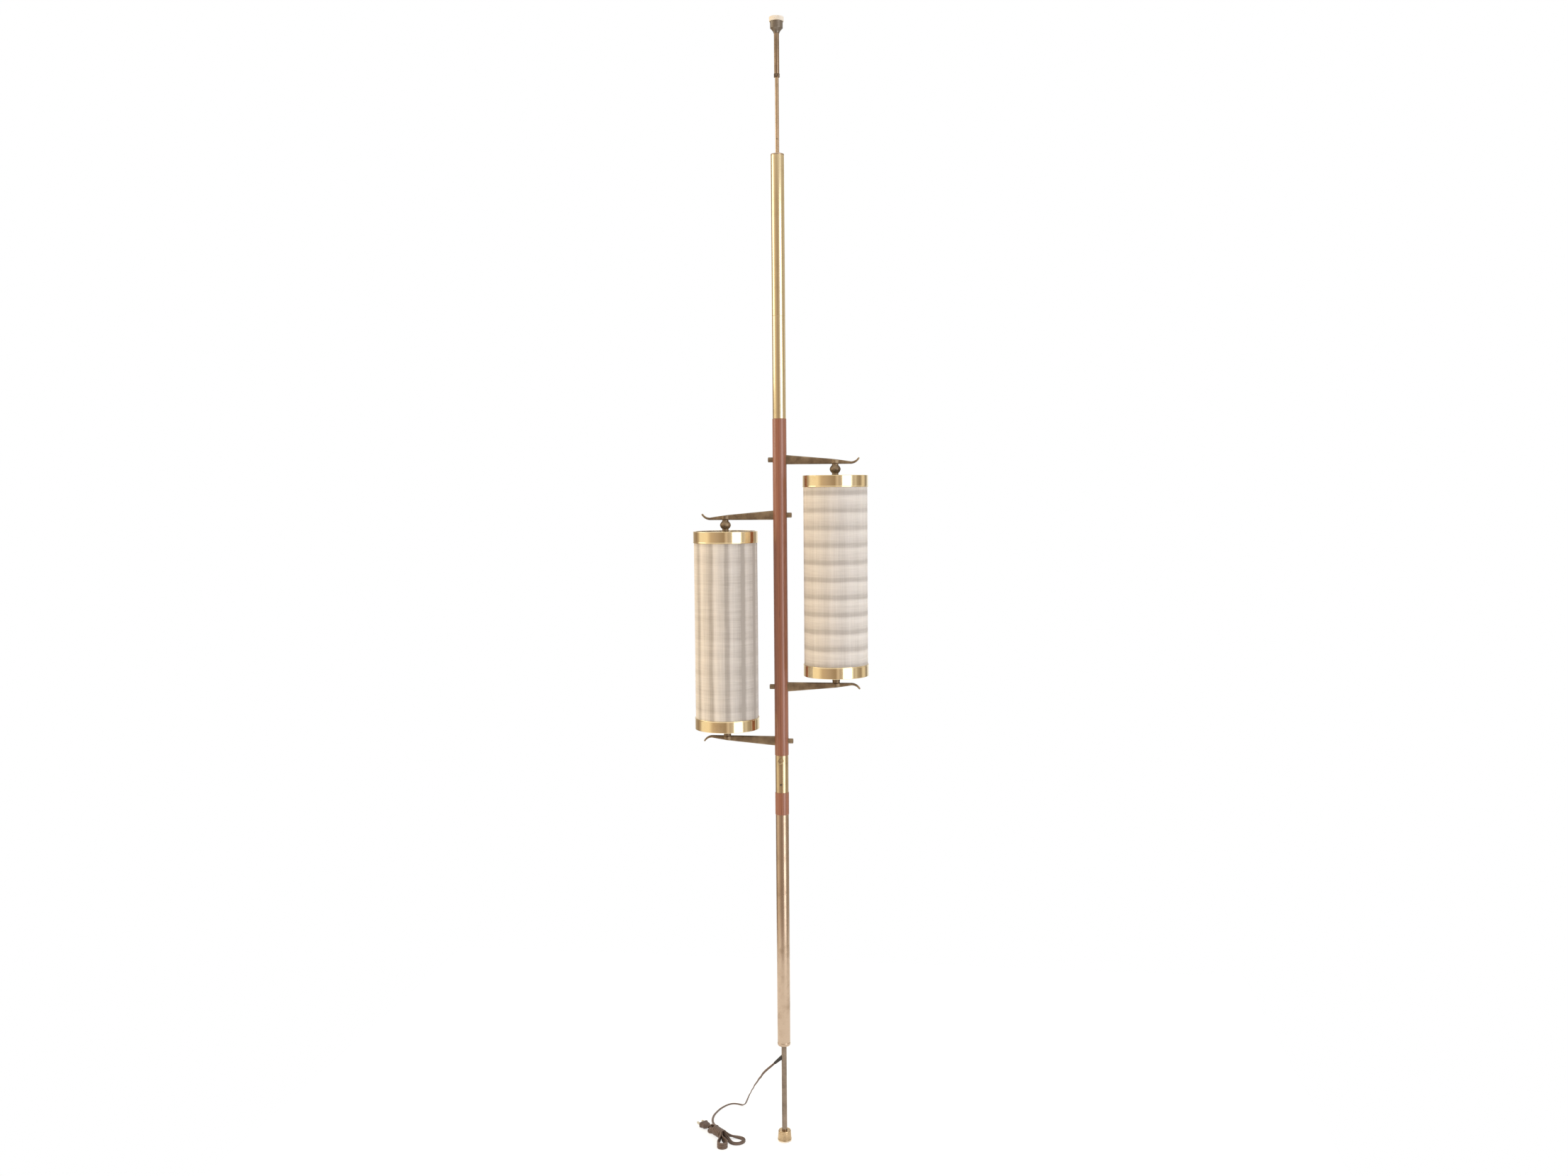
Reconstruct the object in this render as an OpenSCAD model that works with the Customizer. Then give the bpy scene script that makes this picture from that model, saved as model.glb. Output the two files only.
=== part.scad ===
// Tension pole lamp: a slim pole held between floor and ceiling by a spring, with two cylinder shades
// that each stand between a pair of curled arms. Millimetres, +Z up. The origin is on the floor at the
// pole's axis, the arms run along X, and the switch faces -Y.

/* [Pole lengths, from the floor up] */
// Height of the floor foot with its pad
foot_h = 24; // [20:0.5:32]
// Leg tube that shows between the foot and the lower tube
leg_show = 193; // [185:1:260]
// Lower brass tube with its end cap
lower_len = 519; // [400:1:700]
// Walnut ring under the switch housing
ring_len = 49; // [30:1:80]
// Brass switch housing
housing_len = 82; // [70:1:120]
// Walnut pole that carries the arms
walnut_len = 730; // [700:1:900]
// Middle brass tube
mid_len = 217.5; // [150:0.5:320]
// Upper brass tube, which holds the spring
upper_len = 340.5; // [320:0.5:480]
// Plunger rod that shows under the sliding sleeve
rod_show = 159; // [130:1:240]
// Sliding sleeve that shows under the ceiling cup
sleeve_show = 91; // [80:1:140]
// Ceiling cup, neck to rim
cup_h = 24; // [20:0.5:32]
// Ceiling pad that stands out of the cup
ceiling_pad_h = 9; // [6:0.5:12]

/* [Pole diameters] */
// Outside diameter of the brass tubes
tube_d = 28.6; // [28:0.1:32]
// Wall of the brass tubes
tube_wall = 1; // [0.8:0.1:1.2]
// How much wider than the tubes the walnut pieces are
walnut_proud = 1.6; // [0.4:0.1:3]
// Outside diameter of the leg tube
leg_d = 11.5; // [10.5:0.1:14]
// Wall of the leg tube
leg_wall = 1.4; // [1:0.1:1.8]
// Diameter of the plunger rod
rod_d = 8.2; // [7:0.1:9]
// Outside diameter of the sliding sleeve
sleeve_d = 11; // [10.6:0.1:13]
// Diameter of the pipe inside the walnut pole
pipe_d = 14; // [13:0.1:15]
// Wall of the pipe inside the walnut pole
pipe_wall = 1.2; // [1:0.1:1.4]

/* [Fits] */
// Radial clearance of a running fit
run_fit = 0.05; // [0.02:0.01:0.09]
// Radial clearance of a slip or screwed fit
slip_fit = 0.1; // [0.05:0.01:0.15]
// Gap between faces that turn or slide past each other
face_gap = 0.3; // [0.2:0.05:0.5]

/* [Foot and leg] */
// Diameter of the foot's rim, at the floor
foot_rim_d = 31; // [28:0.5:38]
// Diameter of the foot's top
foot_top_d = 27.5; // [24:0.5:31]
// Part of the floor pad that shows under the foot
foot_pad_show = 3; // [2:0.5:5]
// Depth that the floor pad is let into the foot
foot_pad_in = 3; // [2:0.5:4]
// Depth that the leg tube is let into the foot
leg_in_foot = 12; // [8:0.5:13]
// Leg tube above the lower end of the end cap
leg_in_pole = 30; // [28:1:50]
// Height of the end cap's rim
end_cap_rim = 8; // [5:0.5:12]
// Radius of the end cap's lower edge
end_cap_round = 3; // [1:0.5:4]
// Spigot of the end cap inside the lower tube
end_cap_spigot = 12; // [8:1:14]
// Height of the hexagon nut that locks the leg
leg_nut_h = 6; // [4:0.5:8]
// Width over the leg nut's corners
leg_nut_d = 21; // [19:0.5:23]
// Height on the leg's axis where the cord hole's axis crosses it
cord_hole_z = 194; // [190:1:198]
// Radius of the bushing in the leg's wall
bushing_neck_r = 3.1; // [2.8:0.1:3.3]
// Radius of the bushing outside the leg
bushing_root_r = 4.4; // [3.8:0.1:4.8]
// Radius of the bushing's outer end
bushing_tip_r = 2.9; // [2.6:0.1:3.4]

/* [Joints inside the pole] */
// Length of the joiner through the walnut ring into each tube
lower_joiner_in = 30; // [20:1:50]
// Wall of the two joiners
joiner_wall = 1.6; // [1.2:0.1:2.5]
// Length of the upper joiner inside each tube
upper_joiner_in = 30; // [20:1:50]
// Thickness of the flanges that clamp the walnut pole
flange_t = 3; // [2.5:0.1:3]
// Height of the nuts on the centre pipe
pipe_nut_h = 6; // [4:0.5:8]
// Width over the pipe nut's corners
pipe_nut_d = 23; // [21:0.5:25]
// Centre pipe above its upper nut
pipe_end = 8; // [4:1:20]

/* [Switch] */
// Switch axis below the top of the housing
switch_drop = 11; // [10.5:0.5:11.5]
// Height of the switch body
switch_h = 14; // [10:0.5:14]
// Width of the switch body
switch_w = 18; // [12:0.5:18]
// Depth of the switch body in front of the pole's axis
switch_front = 9; // [7:0.5:9]
// Depth of the switch body behind the pole's axis
switch_back = 6.5; // [6:0.5:8]
// Radius of the threaded bushing
switch_bush_r = 4.4; // [4:0.1:4.8]
// Length of bushing outside the housing
switch_bush_out = 3.4; // [3:0.1:5]
// Outside radius of the bushing's nut
switch_nut_r = 6; // [5.6:0.1:6.8]
// Thickness of the bushing's nut
switch_nut_t = 2; // [1.5:0.1:2.5]
// Radius of the switch shaft
shaft_r = 2.4; // [2:0.1:2.8]
// Radius of the switch knob
knob_r = 5.4; // [4.8:0.1:6.5]
// Length of the switch knob
knob_len = 10.5; // [8:0.5:14]
// Depth of the knob's flutes
knob_flute = 0.5; // [0.3:0.1:0.8]
// Number of the knob's flutes
knob_flutes = 18; // [12:1:24]
// Housing screw above the bottom of the housing
screw_rise = 18; // [14:0.5:24]
// Radius of the screw's head
screw_head_r = 2.7; // [2.2:0.1:3.2]
// Height of the screw's head
screw_head_h = 1.8; // [1.2:0.1:2.2]
// Radius of the screw's shank
screw_r = 1.5; // [1.2:0.1:1.8]

/* [Spring and plunger] */
// Thickness of the spring seat
seat_t = 4; // [3:0.5:8]
// Thickness of the washer on the rod
washer_t = 4; // [3:0.5:6]
// Gap between the washer and the tube's wall
washer_gap = 0.5; // [0.3:0.1:1]
// Length of rod below the washer
rod_tail = 110; // [60:5:180]
// Mean radius of the spring
spring_r = 10; // [8.5:0.1:10.6]
// Radius of the spring's wire
spring_wire_r = 1.1; // [0.8:0.1:1.3]
// Number of turns of the spring
spring_turns = 26; // [18:1:32]
// Rim of the bush that closes the upper tube
bush_rim = 3; // [2:0.5:5]
// Spigot of the bush inside the upper tube
bush_spigot = 14; // [10:1:20]
// Height of the stop pin above the upper tube
pin_rise = 31; // [30.5:0.5:40]
// Radius of the stop pin
pin_r = 1.5; // [1.2:0.1:1.8]
// Length of the stop pin
pin_len = 12.5; // [11:0.5:16]
// Length of rod held inside the sliding sleeve
rod_in_sleeve = 40; // [30:1:50]
// Diameter of the knurled lock collar
collar_d = 13.4; // [13:0.1:16]
// Height of the lock collar
collar_h = 7.5; // [5:0.5:12]
// Depth that the sleeve is let into the ceiling cup
sleeve_in_cup = 8; // [6:0.5:10]
// Diameter of the ceiling cup
cup_d = 27; // [25:0.5:32]
// Height of the cup's flared neck
cup_neck_h = 10; // [8:0.5:13]
// Depth that the ceiling pad is let into the cup
ceiling_pad_in = 6; // [4:0.5:7]
// Diameter of the ceiling pad
ceiling_pad_d = 31; // [28:0.5:36]
// Wall of the foot cup and the ceiling cup around their pads
cup_wall = 1.6; // [1.2:0.1:2]

/* [Arms] */
// Distance from the pole's axis to a shade's axis
shade_reach = 120; // [105:1:140]
// Height of the left lower arm's straight edge above the walnut pole's lower end
left_arm_rise = 41; // [32:1:60]
// How much higher the right shade hangs than the left one
shade_step = 119; // [100:1:135]
// Height of an arm at the pole
arm_root_h = 20; // [19:0.5:22]
// Height of an arm at the shade's axis
arm_seat_h = 10.6; // [10:0.1:13]
// Thickness of an arm where its tip starts to curl
arm_tip_root = 5.4; // [4.5:0.1:6.5]
// Thickness of an arm at its tip
arm_tip_t = 3.6; // [3:0.1:4.5]
// Length of an arm's straight edge past the shade's axis
arm_past_seat = 33; // [26:1:40]
// Radius of the curl of an arm's tip
curl_r = 22; // [16:0.5:30]
// Angle of the curl of an arm's tip
curl_angle = 60; // [40:1:70]
// Width of an arm at the pole
arm_root_w = 12; // [10:0.5:14]
// Width of an arm at its tip
arm_tip_w = 6.5; // [5:0.5:9]
// Radius of the boss around a pivot's hole in an arm
arm_boss_r = 7.4; // [6.5:0.1:9]
// Radius of the stud that holds an arm
stud_r = 2.5; // [2:0.1:2.8]
// Depth of the stud in the arm
stud_in = 14; // [8:1:20]
// Radius of the round nut behind an arm
arm_nut_r = 5.5; // [4.5:0.1:7]
// Length of the round nut behind an arm
arm_nut_len = 10; // [7:0.5:14]
// Height of the wire channel above an upper arm's straight edge
wire_rise = 4.6; // [4:0.1:5]
// Radius of the wire channel in an upper arm
channel_r = 1.7; // [1.5:0.1:2]

/* [Shades] */
// Height of a shade over its bands
shade_h = 432; // [380:1:470]
// Diameter of the fabric cylinder
fabric_d = 138.6; // [130:0.2:144]
// Thickness of the stiffened fabric
fabric_t = 1.2; // [0.8:0.1:1.6]
// Height of a brass band
band_h = 25.4; // [18:0.2:32]
// Thickness of a brass band
band_t = 0.9; // [0.6:0.1:1.2]
// Width of the lip that turns in over the fabric's end
band_lip = 3.2; // [2.5:0.1:4]
// Height of the turned knuckle between upper arm and shade
knuckle_h = 24; // [18:0.5:30]
// Largest radius of the knuckle
knuckle_r = 11.7; // [10:0.1:13]
// Height of the turned spacer between shade and lower arm
spacer_h = 16; // [10:0.5:22]
// Radius of the spacer's top
spacer_r = 12; // [10:0.1:14]
// Radius of the pivots that the shades turn on
pivot_r = 4.8; // [4.4:0.1:5.2]
// Bore radius of the upper pivots, for the wire
pivot_bore_r = 2.8; // [2.4:0.1:3.2]
// Depth of a pivot in its arm
pivot_in_arm = 7; // [6.5:0.5:7.5]
// Depth of a pivot in its lampholder
pivot_in_socket = 6; // [4:0.5:8]
// Radius of a spider's hub
hub_r = 10; // [9:0.1:12]
// Thickness of a spider's hub
hub_t = 3.6; // [3:0.1:4]
// Radius of a spider's spokes
spoke_r = 1.6; // [1.2:0.1:1.8]
// Number of spokes of a spider
spokes = 3; // [3:1:5]
// Height of the nuts on the pivots
pivot_nut_h = 4; // [3:0.5:6]
// Width over the pivot nut's corners
pivot_nut_d = 17; // [15:0.5:19]

/* [Sockets and bulbs] */
// Length of a lampholder
socket_len = 52; // [44:1:60]
// Largest radius of a lampholder
socket_r = 16.5; // [15.5:0.1:19]
// Radius of a lampholder's mouth bore
socket_bore_r = 13.6; // [13.4:0.1:14]
// Depth of a lampholder's mouth bore
socket_depth = 27; // [24:0.5:30]
// Radius of a bulb's screw base
bulb_base_r = 13; // [12.6:0.1:13.2]
// Length of a bulb's screw base
bulb_base_len = 25; // [22:0.5:26]
// Largest radius of a bulb
bulb_r = 30; // [25:0.5:32]
// Length of a bulb past its screw base
bulb_len = 84; // [70:1:100]

/* [Cord] */
// Width of the cord
cord_d = 5; // [4.5:0.1:5.5]
// Height of the tied hank's solid
hank_h = 27; // [22:0.5:30]
// Plug body length
plug_len = 24; // [20:0.5:30]
// Plug body width
plug_w = 24; // [20:0.5:28]
// Plug body thickness
plug_t = 14; // [11:0.5:17]

/* [Hidden] */

$fn = 64;
CUT = 1;        // how far a cutting shape runs past the face it cuts
RIGHT = 1;
LEFT = -1;

// Heights up the pole
z_cap = foot_h + leg_show;
z_ring = z_cap + lower_len;
z_housing = z_ring + ring_len;
z_walnut = z_housing + housing_len;
z_mid = z_walnut + walnut_len;
z_upper = z_mid + mid_len;
z_top = z_upper + upper_len;
z_collar = z_top + rod_show;
z_cup = z_collar + sleeve_show;
z_rim = z_cup + cup_h;
z_ceiling = z_rim + ceiling_pad_h;
z_switch = z_walnut - switch_drop;
z_leg_top = z_cap + leg_in_pole;
z_leg_foot = foot_h - leg_in_foot;
z_joiner_top = z_upper + upper_joiner_in;

// Radii
tube_r = tube_d / 2;
tube_ir = tube_r - tube_wall;
plug_r = tube_ir - slip_fit;
walnut_r = tube_r + walnut_proud / 2;
leg_r = leg_d / 2;
leg_ir = leg_r - leg_wall;
rod_r = rod_d / 2;
sleeve_r = sleeve_d / 2;
sleeve_ir = rod_r + run_fit;
pipe_r = pipe_d / 2;
pipe_ir = pipe_r - pipe_wall;
cup_r = cup_d / 2;

// Plunger: the washer stops under the bush, and the stop pin stops on its rim
z_bush = z_top - bush_rim - bush_spigot;
z_washer = z_bush - face_gap - washer_t;
z_pin = z_top + pin_rise;
z_rod_top = z_collar + rod_in_sleeve;
z_spring = z_joiner_top + seat_t;

// Shades
fabric_r = fabric_d / 2;
fabric_ir = fabric_r - fabric_t;
band_r = fabric_r + slip_fit + band_t;
wire_r = 1.2;       // insulated wire in the channels
supply_r = 1.8;     // supply lead in the leg and the lower tube
wire_y = pipe_ir - wire_r - 0.3;    // the wires pass beside the studs
switch_top = z_switch + switch_h / 2;
// Heights of the lower arm's straight edge, the shade's two ends and the upper arm's straight edge
function low_level(side) = z_walnut + left_arm_rise + (side == RIGHT ? shade_step : 0);
function shade_bottom(side) = low_level(side) + spacer_h;
function shade_top(side) = shade_bottom(side) + shade_h;
function level(side) = shade_top(side) + knuckle_h;
function hub_top(side) = shade_top(side) - band_t;
function hub_low(side) = shade_bottom(side) + band_t;
function socket_top(side) = hub_top(side) - hub_t - face_gap - pivot_nut_h;

// The four arms: side, height of the straight edge, +1 where the arm stands above that edge
ARMS = [[RIGHT, level(RIGHT), 1], [LEFT, level(LEFT), 1],
    [RIGHT, low_level(RIGHT), -1], [LEFT, low_level(LEFT), -1]];
function stud_z(arm) = arm[1] + arm[2] * arm_root_h / 2;

// The cord's route, centre of the cord, from the bushing's tip to the hank
ROUTE = [[-21, 0, 175], [-31, 3, 165], [-39, 10, 156], [-46, 18, 147], [-53, 26, 137], [-58, 35, 127],
    [-64, 44, 118], [-69, 53, 108], [-74, 63, 99], [-79, 72, 90], [-83, 82, 80], [-88, 91, 71],
    [-92, 101, 61], [-97, 110, 51], [-101, 120, 41], [-105, 129, 31], [-109, 139, 21], [-114, 149, 11],
    [-122, 159, 4], [-133, 166, 2.6], [-146, 166, 2.6], [-157, 158, 2.6], [-165, 146, 2.6],
    [-171, 133, 2.6], [-175, 119, 2.6], [-178, 105, 2.6], [-179, 91, 2.6], [-178, 77, 2.6],
    [-175, 63, 2.8], [-169, 50, 4], [-163, 38, 6], [-158, 27, 8], [-154, 17, 10]];
CORD_SIDES = 8;
// The hank: its wrapped middle, and the ends of its left, right and front lobes
HANK_MIDDLE = [-146, -2];
HANK_LEFT = [-174, 25];
HANK_RIGHT = [-104, -34];
HANK_FRONT = [-132, -64];
HANK_MIDDLE_R = 17;
HANK_LEFT_R = 12;
HANK_RIGHT_R = 23;
HANK_FRONT_R = 14;
HANK_NECK_R = 12;

function unit(v) = v / norm(v);
function tangent(path, i) = unit(path[min(i + 1, len(path) - 1)] - path[max(i - 1, 0)]);
function ring_at(path, i, r, sides) =
    let(t = tangent(path, i), across = unit(cross(t, [0, 0, 1])), up = cross(across, t))
    [for (k = [0 : sides - 1])
        path[i] + r * (cos(360 * k / sides) * across + sin(360 * k / sides) * up)];

// A tube of radius r swept along a path that is nowhere vertical
module sweep(path, r, sides) {
    last = len(path) - 1;
    polyhedron(
        points = [for (i = [0 : last]) each ring_at(path, i, r, sides)],
        faces = concat(
            [[for (k = [0 : sides - 1]) k]],
            [for (i = [0 : last - 1], k = [0 : sides - 1])
                let(a = i * sides + k, b = i * sides + (k + 1) % sides)
                each [[a, a + sides, b + sides], [a, b + sides, b]]],
            [[for (k = [sides - 1 : -1 : 0]) last * sides + k]]));
}

// A tube or ring with its lower face at z
module pipe(r, bore, h, z) {
    translate([0, 0, z]) difference() {
        cylinder(r = r, h = h);
        translate([0, 0, -CUT]) cylinder(r = bore, h = h + 2 * CUT);
    }
}

module hex_nut(corner_d, bore, h, z) {
    translate([0, 0, z]) difference() {
        cylinder(d = corner_d, h = h, $fn = 6);
        translate([0, 0, -CUT]) cylinder(r = bore, h = h + 2 * CUT);
    }
}

// A cylinder of radius r along +X from x0 to x1
module along_x(r, x0, x1) {
    translate([x0, 0, 0]) rotate([0, 90, 0]) cylinder(r = r, h = x1 - x0);
}

// A cylinder of radius r along -Y, from the distance near to the distance far in front of the axis
module forward(r, near, far) {
    translate([0, -near, 0]) rotate([90, 0, 0]) cylinder(r = r, h = far - near);
}

// Children placed on a shade's axis
module at_shade(side) { translate([side * shade_reach, 0, 0]) children(); }

// Children made for an arm that points along +X above z = 0, moved to one of the four arms
module at_arm(arm) {
    translate([0, 0, arm[1]])
        mirror([arm[0] == LEFT ? 1 : 0, 0, 0]) mirror([0, 0, arm[2] < 0 ? 1 : 0]) children();
}

// --- foot and leg ---

module foot_pad() {
    color("burlywood") union() {
        cylinder(r1 = foot_rim_d / 2 - 0.6, r2 = foot_rim_d / 2 - 0.2, h = foot_pad_show);
        cylinder(r = foot_rim_d / 2 - cup_wall - slip_fit, h = foot_pad_show + foot_pad_in);
    }
}

module foot_cup() {
    color("goldenrod") difference() {
        translate([0, 0, foot_pad_show])
            cylinder(r1 = foot_rim_d / 2, r2 = foot_top_d / 2, h = foot_h - foot_pad_show);
        translate([0, 0, foot_pad_show - CUT])
            cylinder(r = foot_rim_d / 2 - cup_wall, h = foot_pad_in + CUT);
        translate([0, 0, z_leg_foot]) cylinder(r = leg_r + slip_fit, h = leg_in_foot + CUT);
    }
}

// The line of the cord hole: from the leg's axis down to the first point of the route
hole_from = [0, 0, cord_hole_z];
hole_dir = unit(ROUTE[0] - hole_from);
hole_len = norm(ROUTE[0] - hole_from);
hole_tilt = atan2(norm([hole_dir[0], hole_dir[1]]), hole_dir[2]);
hole_turn = atan2(hole_dir[1], hole_dir[0]);
neck_start = (leg_ir - 1) / sin(hole_tilt);

// Children that stand along +Z, laid along the cord hole's line
module on_hole_line() {
    translate(hole_from) rotate([0, hole_tilt, hole_turn]) children();
}

module leg_tube() {
    color("peru") difference() {
        pipe(leg_r, leg_ir, z_leg_top - z_leg_foot, z_leg_foot);
        on_hole_line() cylinder(r = bushing_neck_r + slip_fit, h = hole_len);
    }
}

module cord_bushing() {
    color("black") union() {
        on_hole_line() translate([0, 0, neck_start])
            cylinder(r = bushing_neck_r, h = hole_len - neck_start - 2);
        difference() {
            on_hole_line() translate([0, 0, neck_start])
                cylinder(r1 = bushing_root_r, r2 = bushing_tip_r, h = hole_len - neck_start);
            translate([0, 0, cord_hole_z - hole_len]) cylinder(r = leg_r, h = 2 * hole_len);
        }
    }
}

module lower_end_cap() {
    color("tan") difference() {
        union() {
            translate([0, 0, z_cap]) rotate_extrude() difference() {
                square([tube_r, end_cap_rim]);
                translate([tube_r - end_cap_round, 0]) difference() {
                    translate([0, -CUT]) square([end_cap_round + CUT, end_cap_round + CUT]);
                    translate([0, end_cap_round]) circle(r = end_cap_round);
                }
            }
            translate([0, 0, z_cap]) cylinder(r = plug_r, h = end_cap_rim + end_cap_spigot);
        }
        translate([0, 0, z_cap - CUT])
            cylinder(r = leg_r + slip_fit, h = end_cap_rim + end_cap_spigot + 2 * CUT);
    }
}

module leg_nut() {
    color("silver") hex_nut(leg_nut_d, leg_r + slip_fit, leg_nut_h, z_cap + end_cap_rim + end_cap_spigot);
}

// --- lower pole and switch ---

module lower_tube() {
    color("peru") pipe(tube_r, tube_ir, lower_len - end_cap_rim, z_cap + end_cap_rim);
}

module lower_joiner() {
    color("silver") difference() {
        pipe(plug_r, plug_r - joiner_wall, ring_len + 2 * lower_joiner_in, z_ring - lower_joiner_in);
        translate([0, 0, z_housing + screw_rise]) forward(screw_r + run_fit, 0, tube_r);
    }
}

module walnut_ring() {
    color("saddlebrown") pipe(walnut_r, tube_ir, ring_len, z_ring);
}

module switch_housing() {
    color("gold") difference() {
        pipe(tube_r, tube_ir, housing_len, z_housing);
        translate([0, 0, z_switch]) forward(switch_bush_r + slip_fit, 0, tube_r + CUT);
        translate([0, 0, z_housing + screw_rise]) forward(screw_r + slip_fit, 0, tube_r + CUT);
    }
}

module housing_screw() {
    head = tube_r;
    color("dimgray") translate([0, 0, z_housing + screw_rise]) union() {
        forward(screw_r, plug_r - joiner_wall - 1, head + screw_head_h / 2);
        forward(screw_head_r, head, head + screw_head_h);
    }
}

module switch_body() {
    color("dimgray") translate([0, 0, z_switch]) difference() {
        union() {
            translate([-switch_w / 2, -switch_front, -switch_h / 2])
                cube([switch_w, switch_front + switch_back, switch_h]);
            forward(switch_bush_r, switch_front - CUT, tube_r + switch_bush_out);
        }
        forward(shaft_r + run_fit, 0, tube_r + switch_bush_out + CUT);
    }
}

module switch_nut() {
    color("darkgoldenrod") translate([0, 0, z_switch]) difference() {
        forward(switch_nut_r, tube_r, tube_r + switch_nut_t);
        forward(switch_bush_r + slip_fit, tube_r - CUT, tube_r + switch_nut_t + CUT);
    }
}

module switch_knob() {
    near = tube_r + switch_bush_out + face_gap;
    color("darkgoldenrod") translate([0, 0, z_switch]) union() {
        forward(shaft_r, face_gap, near + CUT);
        difference() {
            forward(knob_r, near, near + knob_len);
            for (i = [0 : knob_flutes - 1]) rotate([0, i * 360 / knob_flutes, 0])
                translate([knob_r, 0, 0]) forward(knob_flute, near + 2, near + knob_len + CUT, $fn = 16);
        }
    }
}

// --- walnut pole ---

module walnut_pole() {
    color("sienna") difference() {
        pipe(walnut_r, pipe_r + slip_fit, walnut_len, z_walnut);
        for (arm = ARMS) translate([0, 0, stud_z(arm)]) along_x(stud_r + slip_fit, -walnut_r - CUT, walnut_r + CUT);
        for (arm = ARMS) if (arm[2] > 0)
            at_arm(arm) translate([0, 0, wire_rise]) along_x(channel_r, 0, walnut_r + CUT);
    }
}

module centre_pipe() {
    color("lightgray") difference() {
        pipe(pipe_r, pipe_ir, walnut_len + 2 * flange_t + pipe_nut_h + pipe_end, z_walnut - flange_t);
        for (arm = ARMS) translate([0, 0, stud_z(arm)]) along_x(stud_r + slip_fit, -pipe_r - CUT, pipe_r + CUT);
        for (arm = ARMS) if (arm[2] > 0)
            at_arm(arm) translate([0, 0, wire_rise]) along_x(channel_r, 0, pipe_r + CUT);
    }
}

// Discs that bear on the two ends of the walnut, inside the tubes
module pipe_flanges() {
    color("lightgray") {
        pipe(plug_r, pipe_r + slip_fit, flange_t, z_walnut - flange_t);
        pipe(plug_r, pipe_r + slip_fit, flange_t, z_mid);
    }
}

module pipe_nuts() {
    color("silver") hex_nut(pipe_nut_d, pipe_r + slip_fit, pipe_nut_h, z_mid + flange_t);
}

module mid_tube() { color("khaki") pipe(tube_r, tube_ir, mid_len, z_mid); }

module tube_joiner() {
    color("silver") pipe(plug_r, plug_r - joiner_wall, 2 * upper_joiner_in, z_upper - upper_joiner_in);
}

module upper_tube() { color("khaki") pipe(tube_r, tube_ir, upper_len - bush_rim, z_upper); }

// --- spring, plunger and ceiling head ---

module spring_seat() { color("silver") translate([0, 0, z_joiner_top]) cylinder(r = plug_r, h = seat_t); }

module spring() {
    steps = 10;
    rise = z_washer - z_spring - 2 * spring_wire_r;
    color("silver") sweep([for (i = [0 : spring_turns * steps])
        [spring_r * cos(360 * i / steps), spring_r * sin(360 * i / steps),
         z_spring + spring_wire_r + rise * i / (spring_turns * steps)]], spring_wire_r, 5);
}

module spring_washer() { color("silver") pipe(tube_ir - washer_gap, rod_r, washer_t, z_washer); }

module plunger_rod() {
    color("peru") translate([0, 0, z_washer - rod_tail]) difference() {
        cylinder(r = rod_r, h = z_rod_top - z_washer + rod_tail);
        translate([0, 0, z_pin - z_washer + rod_tail]) forward(pin_r, -rod_r - CUT, rod_r + CUT);
    }
}

module stop_pin() { color("dimgray") translate([0, 0, z_pin]) forward(pin_r, -pin_len / 2, pin_len / 2); }

module top_bush() {
    color("tan") difference() {
        union() {
            translate([0, 0, z_top - bush_rim]) cylinder(r = tube_r, h = bush_rim);
            translate([0, 0, z_bush]) cylinder(r = plug_r, h = bush_spigot + CUT);
        }
        translate([0, 0, z_bush - CUT]) cylinder(r = rod_r + run_fit, h = bush_rim + bush_spigot + 2 * CUT);
    }
}

module lock_collar() { color("saddlebrown") pipe(collar_d / 2, sleeve_r, collar_h, z_collar); }

module top_sleeve() {
    color("peru") pipe(sleeve_r, sleeve_ir, sleeve_show + sleeve_in_cup, z_collar);
}

module ceiling_cup() {
    color("dimgray") translate([0, 0, z_cup]) difference() {
        union() {
            cylinder(r1 = sleeve_r + 1, r2 = cup_r, h = cup_neck_h);
            translate([0, 0, cup_neck_h]) cylinder(r = cup_r, h = cup_h - cup_neck_h);
        }
        translate([0, 0, -CUT]) cylinder(r = sleeve_r, h = sleeve_in_cup + CUT);
        translate([0, 0, cup_h - ceiling_pad_in]) cylinder(r = cup_r - cup_wall, h = ceiling_pad_in + CUT);
    }
}

module ceiling_pad() {
    color("antiquewhite") union() {
        translate([0, 0, z_rim]) cylinder(d = ceiling_pad_d, h = ceiling_pad_h);
        translate([0, 0, z_rim - ceiling_pad_in])
            cylinder(r = cup_r - cup_wall - slip_fit, h = ceiling_pad_in + CUT);
    }
}

// --- arms ---

arc_x = shade_reach + arm_past_seat;
arc_steps = 8;

// Side view of an arm: a straight edge along z = 0, a sloping edge over it and a tip that curls away
function arm_side() = concat(
    [[0, 0]],
    [for (i = [0 : arc_steps]) let(a = curl_angle * i / arc_steps)
        [arc_x + curl_r * sin(a), curl_r - curl_r * cos(a)]],
    [for (i = [1 : 5]) let(a = curl_angle - 90 + 30 * i, c = curl_r - arm_tip_t / 2)
        [arc_x + c * sin(curl_angle) + arm_tip_t / 2 * cos(a),
         curl_r - c * cos(curl_angle) + arm_tip_t / 2 * sin(a)]],
    [for (i = [arc_steps : -1 : 0]) let(a = curl_angle * i / arc_steps,
            c = curl_r - arm_tip_root + (arm_tip_root - arm_tip_t) * i / arc_steps)
        [arc_x + c * sin(a), curl_r - c * cos(a)]],
    [[shade_reach, arm_seat_h], [walnut_r, arm_root_h], [0, arm_root_h]]);

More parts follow.
